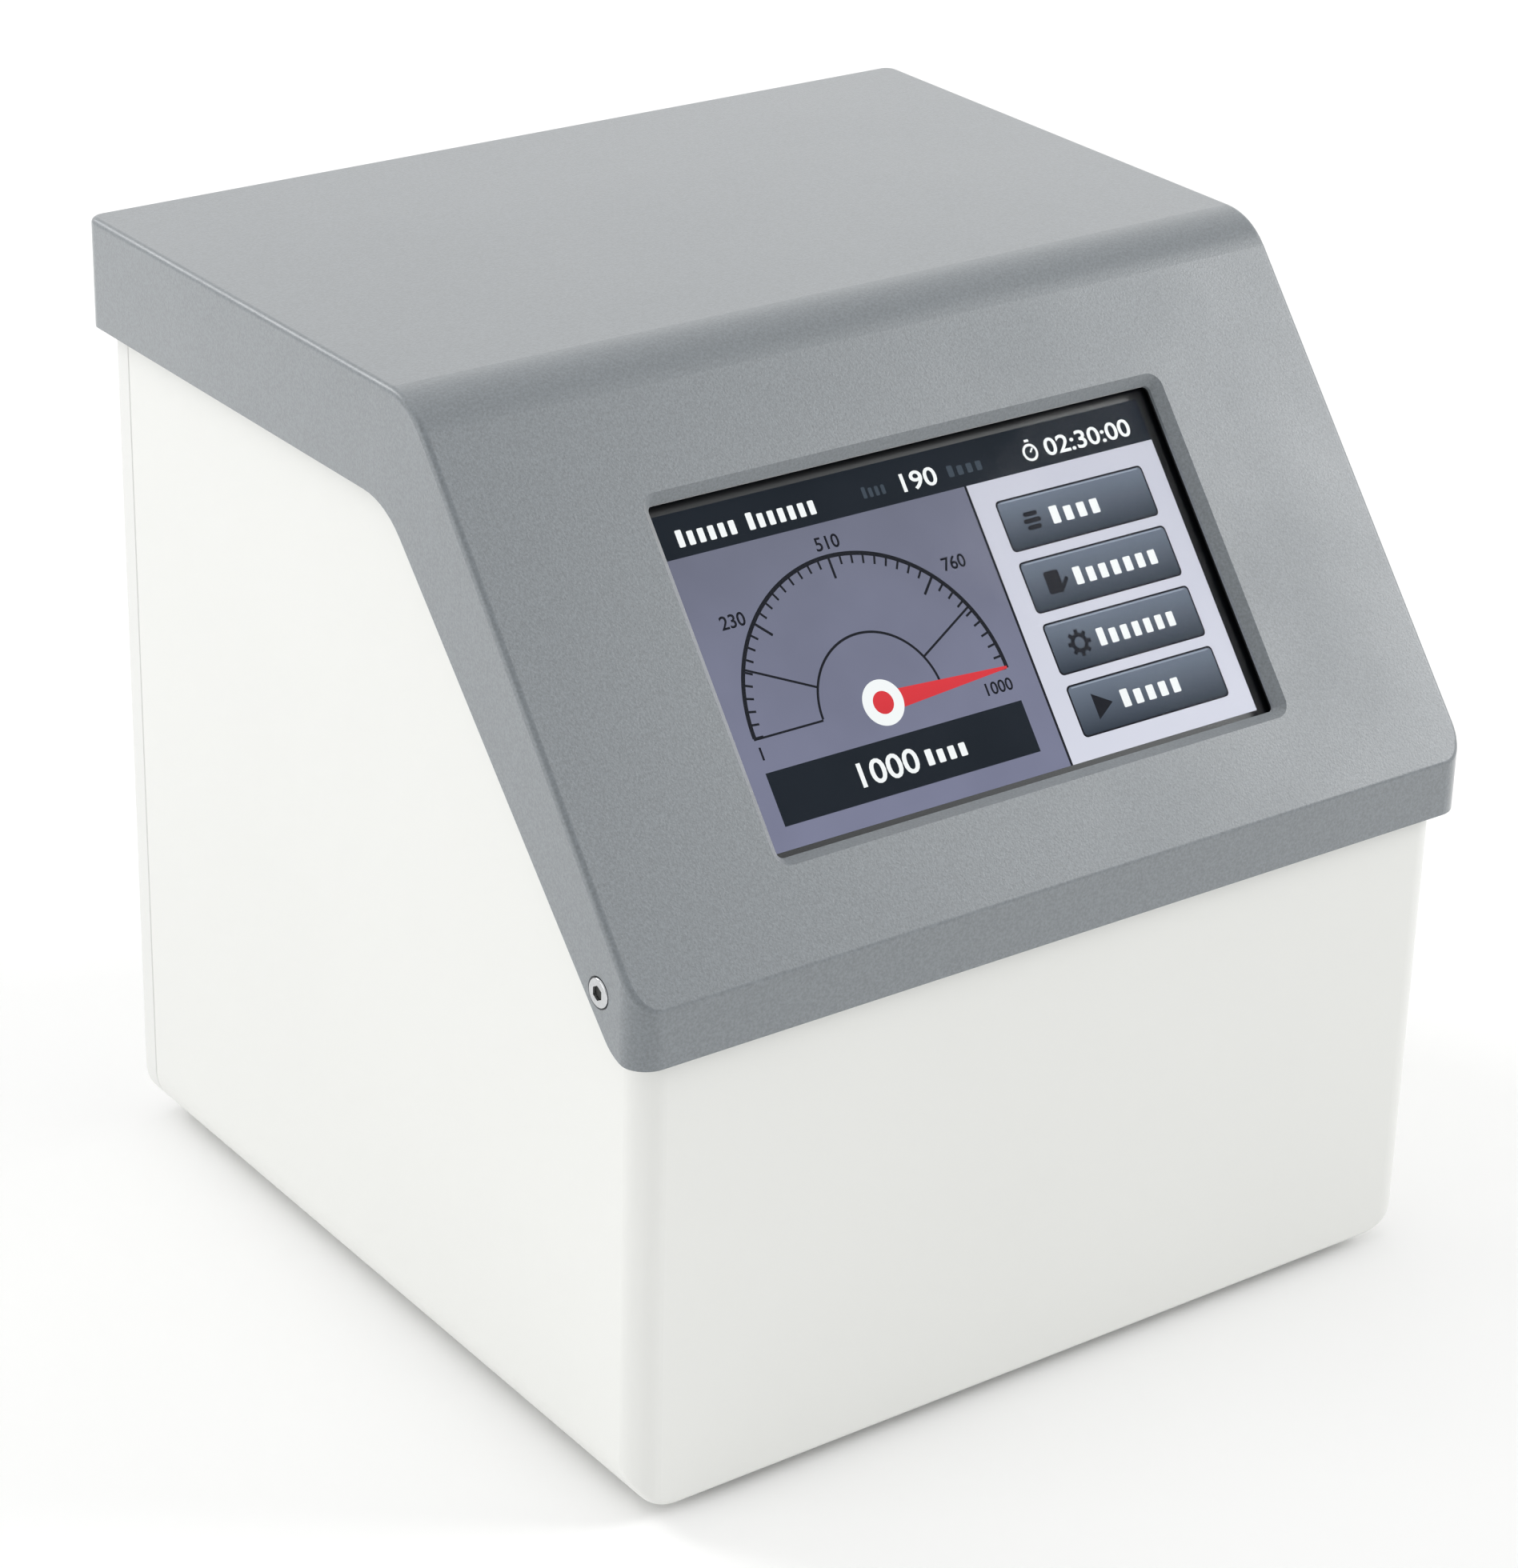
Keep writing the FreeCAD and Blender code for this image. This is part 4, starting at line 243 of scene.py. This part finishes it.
LOOKS = {
    "hood_grey": lambda name: moulded(name, HOOD_GREY, 0.38, 2400, 0.6, 0.02, 0.16, 1.0, 1.0),
    "housing_white": lambda name: moulded(name, TUB_WHITE, 0.38, 2200, 0.15, 0.008, 0.008),
    "panel_white": lambda name: moulded(name, (0.78, 0.785, 0.765), 0.4, 2200, 0.15, 0.008, 0.008),
    "screw_steel": lambda name: metal(name, (0.62, 0.63, 0.64), 0.24, bump=0.06),
    "brass": lambda name: metal(name, (0.62, 0.42, 0.16), 0.3),
    "foot_rubber": lambda name: moulded(name, (0.02, 0.02, 0.021), 0.8, 1400, 0.5, 0.15, 0.08, 0.2),
    "sheet_steel": lambda name: metal(name, STEEL, 0.34, (0.05, 1, 1)),
    "gasket_foam": lambda name: moulded(name, (0.012, 0.012, 0.013), 0.9, 1500, 0.8, 0.2, 0.2, 0.1),
    "touch_glass": lambda name: clear(name, (0.97, 0.985, 0.99), 0.02, 1.1),
    "display_face": lambda name: moulded(name, (0.006, 0.007, 0.009), 0.3, 900, 0.02, 0.1, 0.02),
    "circuit_board": board,
    "ribbon_film": lambda name: moulded(name, (0.7, 0.66, 0.55), 0.35, 500, 0.05, 0.05, 0.02),
    "component_black": lambda name: moulded(name, (0.02, 0.02, 0.022), 0.5, 2500, 0.3, 0.1, 0.05),
    "connector_ivory": lambda name: moulded(name, (0.68, 0.62, 0.48), 0.45, 2000, 0.15, 0.04, 0.02),
    "battery_steel": lambda name: metal(name, (0.6, 0.6, 0.6), 0.25),
    "coil_yellow": lambda name: moulded(name, (0.55, 0.36, 0.03), 0.35, 700, 0.1, 0.06, 0.03),
    "capacitor_sleeve": lambda name: moulded(name, (0.01, 0.014, 0.035), 0.25, 600, 0.05, 0.1, 0.02),
    "block_aluminium": lambda name: metal(name, (0.66, 0.67, 0.69), 0.3, (0.05, 1, 1)),
    "inlet_black": lambda name: moulded(name, (0.012, 0.012, 0.013), 0.45, 1800, 0.25, 0.12, 0.06),
    "rocker_black": lambda name: moulded(name, (0.01, 0.01, 0.011), 0.22, 1200, 0.06, 0.1, 0.03),
    "contact_nickel": lambda name: metal(name, NICKEL, 0.18, bump=0.04),
    "fuse_glass": lambda name: moulded(name, (0.55, 0.58, 0.56), 0.12, 400, 0.03, 0.05, 0.02),
    "wire_insulation": lambda name: moulded(name, (0.03, 0.03, 0.035), 0.4, 900, 0.05, 0.1, 0.03),
    "wire_grey": lambda name: moulded(name, (0.2, 0.21, 0.22), 0.4, 900, 0.05, 0.05, 0.03),
    "socket_nickel": lambda name: metal(name, NICKEL, 0.26, bump=0.05),
    "nozzle_metal": lambda name: metal(name, (0.62, 0.63, 0.64), 0.24, (1, 6, 1), 0.12),
    "seal_rubber": lambda name: moulded(name, (0.018, 0.018, 0.018), 0.7, 1200, 0.3, 0.15, 0.08, 0.3),
    "coil_black": lambda name: moulded(name, (0.016, 0.016, 0.018), 0.42, 1500, 0.2, 0.1, 0.05),
    "guide_steel": lambda name: metal(name, (0.6, 0.61, 0.63), 0.22, (1, 6, 1)),
    "spring_steel": lambda name: metal(name, (0.6, 0.61, 0.63), 0.3),
}

materials = {slot: make(slot) for slot, make in LOOKS.items()}
for part in frame["record"]["subparts"]:
    mesh = frame["nodes"][part["node"]].data
    mesh.materials.clear()
    mesh.materials.append(materials[part["material_slot"]])


# ------------------------------------------------------------------ mesh tools


def outline_rect(x0, y0, x1, y1, radius=0.0, steps=6):
    """Corners of a rectangle, rounded where radius isn't 0, counter-clockwise."""
    if not radius:
        return [(x0, y0), (x1, y0), (x1, y1), (x0, y1)]
    points = []
    for cx, cy, start in (
        (x1 - radius, y0 + radius, -90), (x1 - radius, y1 - radius, 0),
        (x0 + radius, y1 - radius, 90), (x0 + radius, y0 + radius, 180),
    ):
        for i in range(steps + 1):
            angle = math.radians(start + 90 * i / steps)
            points.append((cx + radius * math.cos(angle), cy + radius * math.sin(angle)))
    return points


def outline_disc(cx, cy, radius, steps=64):
    """A circle as a closed outline."""
    return [
        (cx + radius * math.cos(2 * math.pi * i / steps), cy + radius * math.sin(2 * math.pi * i / steps))
        for i in range(steps)
    ]


def outline_arc(cx, cy, inner, outer, start, end, steps=72):
    """A band along an arc, from start to end in degrees."""
    angles = [math.radians(start + (end - start) * i / steps) for i in range(steps + 1)]
    out = [(cx + outer * math.cos(a), cy + outer * math.sin(a)) for a in angles]
    back = [(cx + inner * math.cos(a), cy + inner * math.sin(a)) for a in reversed(angles)]
    return out + back


def add_ring(bm, cx, cy, inner, outer, low, high, steps=48):
    """A closed ring, in millimetres."""
    loops = [
        [bm.verts.new((x * MM, y * MM, z * MM)) for x, y in outline_disc(cx, cy, radius, steps)]
        for radius, z in ((inner, low), (outer, low), (outer, high), (inner, high))
    ]
    for i in range(steps):
        j = (i + 1) % steps
        for a, b in zip(loops, loops[1:] + loops[:1]):
            bm.faces.new((a[i], a[j], b[j], b[i]))


def outline_line(a, b, width, end_width=None):
    """A straight stroke between two points."""
    end_width = width if end_width is None else end_width
    along = (Vector(b) - Vector(a)).normalized()
    side = Vector((-along.y, along.x))
    return [tuple(Vector(a) - side * width / 2), tuple(Vector(b) - side * end_width / 2),
            tuple(Vector(b) + side * end_width / 2), tuple(Vector(a) + side * width / 2)]


def add_prism(bm, outline, low, high, band=False):
    """A closed prism over an outline, in millimetres; the two sides of a band are joined by quads."""
    count = len(outline)
    bottom = [bm.verts.new((x * MM, y * MM, low * MM)) for x, y in outline]
    top = [bm.verts.new((x * MM, y * MM, high * MM)) for x, y in outline]
    for i in range(count):
        j = (i + 1) % count
        bm.faces.new((bottom[i], bottom[j], top[j], top[i]))
    if band:
        for i in range(count // 2 - 1):
            a, b, c, d = i, i + 1, count - 2 - i, count - 1 - i
            bm.faces.new((top[a], top[b], top[c], top[d]))
            bm.faces.new((bottom[d], bottom[c], bottom[b], bottom[a]))
    else:
        bm.faces.new(top)
        bm.faces.new(list(reversed(bottom)))


def piece(name, bm, matrix, material, body=HOUSING, smooth=False):
    """A mesh piece that rides on a body, or on none yet where body is None."""
    bmesh.ops.recalc_face_normals(bm, faces=bm.faces)
    mesh = bpy.data.meshes.new(name)
    bm.to_mesh(mesh)
    bm.free()
    mesh.materials.append(material)
    item = bpy.data.objects.new(name, mesh)
    bpy.context.scene.collection.objects.link(item)
    item.matrix_world = matrix
    if smooth:
        mesh.shade_smooth()
        mesh.set_sharp_from_angle(angle=math.radians(35))
    if body:
        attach(item, body)
    return item


def flat_face(node, wanted):
    """Matrix at the centre of the node's flat face that looks along wanted: x across, y up, z outwards."""
    mesh = frame["nodes"][node].data
    wanted = Vector(wanted).normalized()
    normal = max((p.normal.copy() for p in mesh.polygons), key=lambda item: item.dot(wanted))
    across = Vector((1, 0, 0))
    up = normal.cross(across).normalized()
    corners = [
        mesh.vertices[i].co for p in mesh.polygons if p.normal.dot(normal) > 0.9999 for i in p.vertices
    ]
    top = max(c.dot(normal) for c in corners)
    corners = [c for c in corners if top - c.dot(normal) < 0.0001]
    middle = [(min(c.dot(a) for c in corners) + max(c.dot(a) for c in corners)) / 2 for a in (across, up)]
    centre = across * middle[0] + up * middle[1] + normal * top
    rotation = Matrix((across, up, normal)).transposed().to_4x4()
    return Matrix.Translation(centre) @ rotation


# ------------------------------------------------------------------ the lit picture

screen = flat_face("lcd_module", (0, -0.78, 0.63))

ACTIVE_W, ACTIVE_H = 110.9, 62.8
LEFT, RIGHT = -ACTIVE_W / 2, ACTIVE_W / 2
FLOOR, CEILING = -ACTIVE_H / 2, ACTIVE_H / 2
HEADER_LOW = 23.2
DIVIDER = 11.1
LAYER, LAYER_FIRST, LAYER_FILL = 0.03, 0.05, 0.8
DIAL_X, DIAL_Y = -22.7, -11.0
DIAL_R = 28.0
DIAL_INNER = 13.2
BUTTON_X0, BUTTON_X1 = 16.2, 50.5
BUTTON_HIGH = 9.6
BUTTON_PITCH = 12.1
BUTTON_TOP = 14.0
BLOCK_GAP, WORD_SPACE, SHORT_BLOCK = 0.42, 0.8, 0.82

INK = (0.07, 0.08, 0.11)
NAVY = (0.07, 0.105, 0.14)
WHITE = (0.97, 0.98, 0.98)
RED = (0.88, 0.22, 0.25)
EDGE_LIGHT = (0.6, 0.64, 0.7)
DIM = (0.24, 0.28, 0.32)


def layer_range(layer):
    """Lowest and highest level of a layer of the picture, in millimetres above the display."""
    low = LAYER_FIRST + layer * LAYER
    return low, low + LAYER * LAYER_FILL


def picture(name, outlines, layer, material, band=False):
    """Shapes of one colour on one layer of the picture."""
    bm = bmesh.new()
    low, high = layer_range(layer)
    for outline in outlines:
        add_prism(bm, outline, low, high, band)
    return piece(name, bm, screen, material)


def ring(name, cx, cy, inner, outer, layer, material):
    """A thin ring on one layer of the picture."""
    bm = bmesh.new()
    low, high = layer_range(layer)
    add_ring(bm, cx, cy, inner, outer, low, high)
    return piece(name, bm, screen, material)


def blocks(x, y, width, high, counts):
    """Rounded blocks in place of words: one run of blocks for each word, spread over the width."""
    cells = sum(counts) + WORD_SPACE * (len(counts) - 1)
    pitch = width / cells
    shapes = []
    for count in counts:
        for i in range(count):
            tall = high * (1.0 if i == 0 else SHORT_BLOCK)
            left, foot = x + i * pitch, y - high / 2
            shapes.append(outline_rect(left, foot, left + pitch * (1 - BLOCK_GAP), foot + tall, 0.22, 3))
        x += (count + WORD_SPACE) * pitch
    return shapes


def figures(name, words, layer, material, weight=0.0):
    """Figures set in the built-in typeface: (text, centre x, centre y, height, width or None)."""
    bm = bmesh.new()
    low, high = layer_range(layer)
    for text, x, y, height, width in words:
        curve = bpy.data.curves.new(name + "_type", "FONT")
        curve.body = text
        curve.resolution_u = 4
        curve.offset = weight
        holder = bpy.data.objects.new(name + "_type", curve)
        bpy.context.scene.collection.objects.link(holder)
        bpy.context.view_layer.update()
        graph = bpy.context.evaluated_depsgraph_get()
        flat = bpy.data.meshes.new_from_object(holder.evaluated_get(graph))
        bpy.data.objects.remove(holder)
        glyphs = bmesh.new()
        glyphs.from_mesh(flat)
        bmesh.ops.remove_doubles(glyphs, verts=glyphs.verts, dist=1e-5)
        xs = [v.co.x for v in glyphs.verts]
        ys = [v.co.y for v in glyphs.verts]
        tall = height / (max(ys) - min(ys))
        wide = width / (max(xs) - min(xs)) if width else tall
        middle_x, middle_y = (max(xs) + min(xs)) / 2, (max(ys) + min(ys)) / 2
        for v in glyphs.verts:
            v.co = (
                (x + (v.co.x - middle_x) * wide) * MM,
                (y + (v.co.y - middle_y) * tall) * MM,
                low * MM,
            )
        raised = bmesh.ops.extrude_face_region(glyphs, geom=list(glyphs.faces))["geom"]
        for item in raised:
            if isinstance(item, bmesh.types.BMVert):
                item.co.z += (high - low) * MM
        bmesh.ops.recalc_face_normals(glyphs, faces=glyphs.faces)
        made = bpy.data.meshes.new(name + "_part")
        glyphs.to_mesh(made)
        glyphs.free()
        bm.from_mesh(made)
        bpy.data.meshes.remove(made)
        bpy.data.meshes.remove(flat)
    return piece(name, bm, screen, material)


def on_dial(radius, degrees):
    """A point on the dial."""
    angle = math.radians(degrees)
    return DIAL_X + radius * math.cos(angle), DIAL_Y + radius * math.sin(angle)


ink = lit("picture_ink", INK, INK, CEILING, FLOOR, mottle=0.05)
navy = lit("picture_navy", NAVY, NAVY, CEILING, FLOOR, mottle=0.05)
white = lit("picture_white", WHITE, WHITE, CEILING, FLOOR, mottle=0.01)
red = lit("picture_red", RED, (0.84, 0.2, 0.23), DIAL_Y + 3, DIAL_Y - 3)

picture("screen_surround", [outline_rect(-60.2, -37.7, 60.2, 37.7, 1.0)], 0, materials["display_face"])
picture("screen_dial_panel", [outline_rect(LEFT, FLOOR, DIVIDER, HEADER_LOW)], 1,
        lit("picture_slate", (0.44, 0.45, 0.52), (0.485, 0.495, 0.59), HEADER_LOW, FLOOR, mottle=0.06))
picture("screen_button_panel", [outline_rect(DIVIDER, FLOOR, RIGHT, HEADER_LOW)], 1,
        lit("picture_lilac", (0.79, 0.795, 0.845), (0.85, 0.855, 0.905), HEADER_LOW, FLOOR, mottle=0.04))
picture("screen_header", [outline_rect(LEFT, HEADER_LOW, RIGHT, CEILING)], 1, navy)
picture("screen_divider", [outline_line((DIVIDER, FLOOR), (DIVIDER, HEADER_LOW), 0.5)], 2, ink)

ticks = []
for degrees in range(0, 181, 5):
    deep = 4.2 if degrees in (45, 90, 135) else 1.9
    wide = 0.5 if deep > 2 else 0.42
    ticks.append(outline_line(on_dial(DIAL_R - deep, degrees), on_dial(DIAL_R - 0.2, degrees), wide))
spokes = [outline_line(on_dial(DIAL_INNER, d), on_dial(DIAL_R - 0.4, d), 0.42) for d in (154, 27)]
base = [outline_line((DIAL_X - DIAL_R - 0.2, DIAL_Y - 0.2), (DIAL_X - DIAL_INNER, DIAL_Y - 0.2), 0.4)]
picture("screen_dial_marks", ticks + spokes + base, 2, ink)
picture("screen_dial_arcs", [
    outline_arc(DIAL_X, DIAL_Y, DIAL_R - 0.4, DIAL_R + 0.4, 0, 180),
    outline_arc(DIAL_X, DIAL_Y, DIAL_INNER - 0.25, DIAL_INNER + 0.22, 0, 180),
], 3, ink, band=True)
figures("screen_dial_figures", [
    ("1", -50.4, -13.9, 2.4, None), ("230", -46.4, 10.1, 2.6, None), ("510", -21.8, 19.5, 2.6, None),
    ("760", 2.6, 10.2, 2.6, None), ("1000", 2.2, -13.9, 2.4, None),
], 3, ink, 0.012)
picture("screen_value_box", [outline_rect(-51.1, -27.3, 5.7, -17.4)], 2, navy)
figures("screen_value_figures", [("1000", -26.4, -22.4, 4.6, 13.0)], 3, white, 0.014)
picture("screen_value_blocks", blocks(-18.2, -22.7, 9.8, 3.0, (4,)), 3, white)
picture("screen_needle", [outline_line(on_dial(3.6, 0), on_dial(28.0, 0.3), 3.6, 0.5)], 4, red)
picture("screen_hub", [outline_disc(DIAL_X, DIAL_Y, 4.3)], 5, white)
picture("screen_hub_centre", [outline_disc(DIAL_X, DIAL_Y, 2.15)], 6, red)

rows = [BUTTON_TOP - BUTTON_PITCH * i for i in range(4)]
half = BUTTON_HIGH / 2
picture("screen_button_edges", [
    outline_rect(BUTTON_X0 - 0.25, y - half - 0.25, BUTTON_X1 + 0.25, y + half + 0.25, 1.0) for y in rows
], 2, ink)
for i, y in enumerate(rows):
    fill = lit(f"picture_button_{i}", (0.43, 0.47, 0.53), (0.18, 0.215, 0.26), y + half, y - half)
    shape = outline_rect(BUTTON_X0 + 0.1, y - half + 0.1, BUTTON_X1 - 0.1, y + half - 0.1, 0.8)
    picture(f"screen_button_{i}", [shape], 3, fill)
picture("screen_button_lights", [
    outline_line((BUTTON_X0 + 0.9, y + half - 0.35), (BUTTON_X1 - 0.9, y + half - 0.35), 0.22) for y in rows
], 4, lit("picture_edge_light", EDGE_LIGHT, EDGE_LIGHT, CEILING, FLOOR))

ICON_X = 22.6
LABELS = ((12.4, 4), (20.6, 7), (19.2, 7), (14.8, 5))
labels = []
for y, (width, count) in zip(rows, LABELS):
    labels += blocks(27.0, y, width, 3.4, (count,))
picture("screen_button_labels", labels, 4, white)
icon = []
for i in (-1, 0, 1):
    wide = 2.0 if i == 0 else 1.6
    bar_y = rows[0] + i * 1.3
    icon.append(outline_rect(ICON_X - wide, bar_y - 0.45, ICON_X + wide, bar_y + 0.45, 0.4))
icon.append(outline_rect(ICON_X - 2.2, rows[1] - 2.2, ICON_X + 1.2, rows[1] + 2.2, 0.5))
icon.append(outline_line((ICON_X + 0.4, rows[1] - 2.1), (ICON_X + 2.7, rows[1] + 0.3), 0.8))
icon += [outline_line((ICON_X + 1.7 * math.cos(a), rows[2] + 1.7 * math.sin(a)),
                      (ICON_X + 2.6 * math.cos(a), rows[2] + 2.6 * math.sin(a)), 0.8)
         for a in [math.radians(45 * k) for k in range(8)]]
icon.append([(ICON_X - 1.9, rows[3] - 2.5), (ICON_X + 2.2, rows[3]), (ICON_X - 1.9, rows[3] + 2.5)])
picture("screen_button_icons", icon, 4, ink)
ring("screen_gear_ring", ICON_X, rows[2], 1.1, 1.9, 5, ink)

TITLE_Y = 26.6
picture("screen_title_blocks", blocks(-51.2, TITLE_Y, 30.6, 3.2, (6, 7)), 2, white)
dim_words = blocks(-10.8, TITLE_Y, 5.6, 2.2, (4,)) + blocks(8.6, TITLE_Y, 8.6, 2.2, (4,))
picture("screen_dim_blocks", dim_words, 2, lit("picture_dim", DIM, DIM, CEILING, FLOOR))
figures("screen_header_figures", [
    ("190", 2.0, TITLE_Y, 3.6, 7.9), ("02:30:00", 41.4, TITLE_Y, 3.5, 20.4),
], 2, white, 0.014)
CLOCK_X = 27.8
ring("screen_clock", CLOCK_X, TITLE_Y - 0.2, 1.2, 1.7, 2, white)
picture("screen_clock_marks", [
    outline_line((CLOCK_X, TITLE_Y - 0.2), (CLOCK_X + 0.75, TITLE_Y + 0.55), 0.35),
    outline_line((CLOCK_X - 0.5, TITLE_Y + 2.1), (CLOCK_X + 0.5, TITLE_Y + 2.1), 0.5),
], 2, white)


# ------------------------------------------------------------------ panel seam and screw sockets (painted shade), rocker marks

SEAM_INNER, SEAM_OUTER = 91.5, 91.8
SEAM_FRONT, SEAM_BACK = 72.5, 72.75
SEAM_LOW, SEAM_HIGH = 12.5, 185.0
# A dark strip standing in the groove where the rear panel meets the tub: painted shadow in the seam, not a
# real part.
bm = bmesh.new()
add_prism(bm, outline_rect(SEAM_INNER, SEAM_FRONT, SEAM_OUTER, SEAM_BACK), SEAM_LOW, SEAM_HIGH)
add_prism(bm, outline_rect(-SEAM_OUTER, SEAM_FRONT, -SEAM_INNER, SEAM_BACK), SEAM_LOW, SEAM_HIGH)
piece("panel_seam_painted_shadow", bm, Matrix.Identity(4), moulded("seam_painted_shadow", (0.1, 0.1, 0.095), 0.8))

SOCKET_FLOOR, SOCKET_LIP = 93.95, 94.7
SOCKET_ACROSS = 2.3
SCREW_Y, SCREW_Z = 11.7 - 104, 105.5
# A dark hexagon filling each side screw's socket: painted shade in the recess, not a real part.
bm = bmesh.new()
for side in (-1, 1):
    hexagon = outline_disc(0, 0, SOCKET_ACROSS / 2 / math.cos(math.pi / 6), 6)
    turned = bmesh.new()
    add_prism(turned, hexagon, SOCKET_FLOOR, SOCKET_LIP)
    turned.transform(Matrix.Rotation(math.radians(90 * side), 4, "Y"))
    part_mesh = bpy.data.meshes.new("socket_part")
    turned.to_mesh(part_mesh)
    turned.free()
    bm.from_mesh(part_mesh)
    bpy.data.meshes.remove(part_mesh)
screw_place = Matrix.Translation((0, SCREW_Y * MM, SCREW_Z * MM))
piece("screw_socket_painted_shade", bm, screw_place, moulded("socket_painted_shade", (0.02, 0.02, 0.018), 0.5))

rocker_mark = moulded("rocker_mark", (0.7, 0.7, 0.68), 0.5, 1200, 0.05)
down = flat_face("switch_rocker", (0, 0.888, 0.46))
bm = bmesh.new()
add_ring(bm, 0, 0, 1.0, 1.4, 0.01, 0.05)
piece("rocker_mark_off", bm, down, rocker_mark, body="rocker")
level = flat_face("switch_rocker", (0, 0.998, -0.059))
bm = bmesh.new()
add_prism(bm, outline_rect(-0.2, -1.3, 0.2, 1.3), 0.01, 0.05)
piece("rocker_mark_on", bm, level, rocker_mark, body="rocker")


# ------------------------------------------------------------------ valve springs

SPRING_R, WIRE_R = 2.0, 0.25
TURNS = 6
STEPS, SIDES = 24 * TURNS, 8


def valve_spring(tag):
    """The return spring as a coil over the length of the spring part, which it replaces; it rides on no body.
    """
    node_low, node_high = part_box(f"{tag}_valve_spring")
    axis_x = (node_low[0] + node_high[0]) / 2
    axis_z = (node_low[2] + node_high[2]) / 2
    first, last = node_low[1] + WIRE_R * MM, node_high[1] - WIRE_R * MM
    bm = bmesh.new()
    rings = []
    for i in range(STEPS + 1):
        angle = 2 * math.pi * TURNS * i / STEPS
        outwards = Vector((math.cos(angle), 0, math.sin(angle)))
        middle = Vector((axis_x, first + (last - first) * i / STEPS, axis_z)) + outwards * SPRING_R * MM
        ring_points = []
        for k in range(SIDES):
            turn = 2 * math.pi * k / SIDES
            offset = (outwards * math.cos(turn) + Vector((0, 1, 0)) * math.sin(turn)) * WIRE_R * MM
            ring_points.append(bm.verts.new(middle + offset))
        rings.append(ring_points)
    for a, b in zip(rings, rings[1:]):
        for k in range(SIDES):
            bm.faces.new((a[k], a[(k + 1) % SIDES], b[(k + 1) % SIDES], b[k]))
    bm.faces.new(rings[0])
    bm.faces.new(list(reversed(rings[-1])))
    coil = piece(f"{tag}_valve_coil_spring", bm, Matrix.Identity(4), materials["spring_steel"],
                 body=None, smooth=True)
    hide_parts(f"{tag}_valve_spring")
    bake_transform(coil)


valve_spring("vacuum")
valve_spring("vent")


# ------------------------------------------------------------------ floor, light and camera

low, high = cad_box
floor_mesh = bmesh.new()
bmesh.ops.create_grid(floor_mesh, x_segments=4, y_segments=4, size=8.0)
mesh = bpy.data.meshes.new("studio_floor")
floor_mesh.to_mesh(mesh)
floor_mesh.free()
floor = bpy.data.objects.new("studio_floor", mesh)
bpy.context.scene.collection.objects.link(floor)
floor.location = (0, 0, low[2])
mesh.materials.append(moulded("studio_paper", (0.96, 0.96, 0.955), 0.9, 300, 0.0, 0.004, 0.004, 0.1))


def aim(item, position, target):
    """Places a light or camera so that it looks at target."""
    item.location = position
    item.rotation_euler = (Vector(target) - Vector(position)).to_track_quat("-Z", "Y").to_euler()


def soft_light(name, position, target, size, power):
    """A square soft box of white light."""
    lamp = bpy.data.lights.new(name, "AREA")
    lamp.size = size
    lamp.energy = power
    item = bpy.data.objects.new(name, lamp)
    bpy.context.scene.collection.objects.link(item)
    aim(item, position, target)


middle = (0, 0, 0.08)
soft_light("soft_box_left", (-1.7, 0.25, 0.4), middle, 1.2, 6)
soft_light("soft_box_back", (-0.85, 1.5, 1.2), middle, 0.7, 12)
soft_light("soft_box_right", (1.7, -0.95, 1.15), middle, 0.9, 17)
soft_light("soft_box_top", (0, 0.4, 2.4), middle, 2.2, 8.5)

world = bpy.data.worlds.new("studio")
bpy.context.scene.world = world
world.use_nodes = True
background = world.node_tree.nodes["Background"]
background.inputs["Color"].default_value = (1, 1, 1, 1)
background.inputs["Strength"].default_value = 0.68

LENS = 105.27
ROLL = math.radians(1.53)
EYE = Vector((-0.4639, -0.6367, 0.4599))
LOOK = Vector((0.5351, 0.7260, -0.4319))
camera_data = bpy.data.cameras.new("camera")
camera = bpy.data.objects.new("camera", camera_data)
bpy.context.scene.collection.objects.link(camera)
camera_data.sensor_fit = "HORIZONTAL"
camera_data.sensor_width = 36.0
camera_data.lens = LENS
camera_data.clip_start = 0.01
aim(camera, EYE, EYE + LOOK)
camera.rotation_euler = (camera.rotation_euler.to_matrix() @ Matrix.Rotation(ROLL, 3, "Z")).to_euler()
bpy.context.scene.camera = camera
bpy.context.scene.view_settings.view_transform = "Standard"
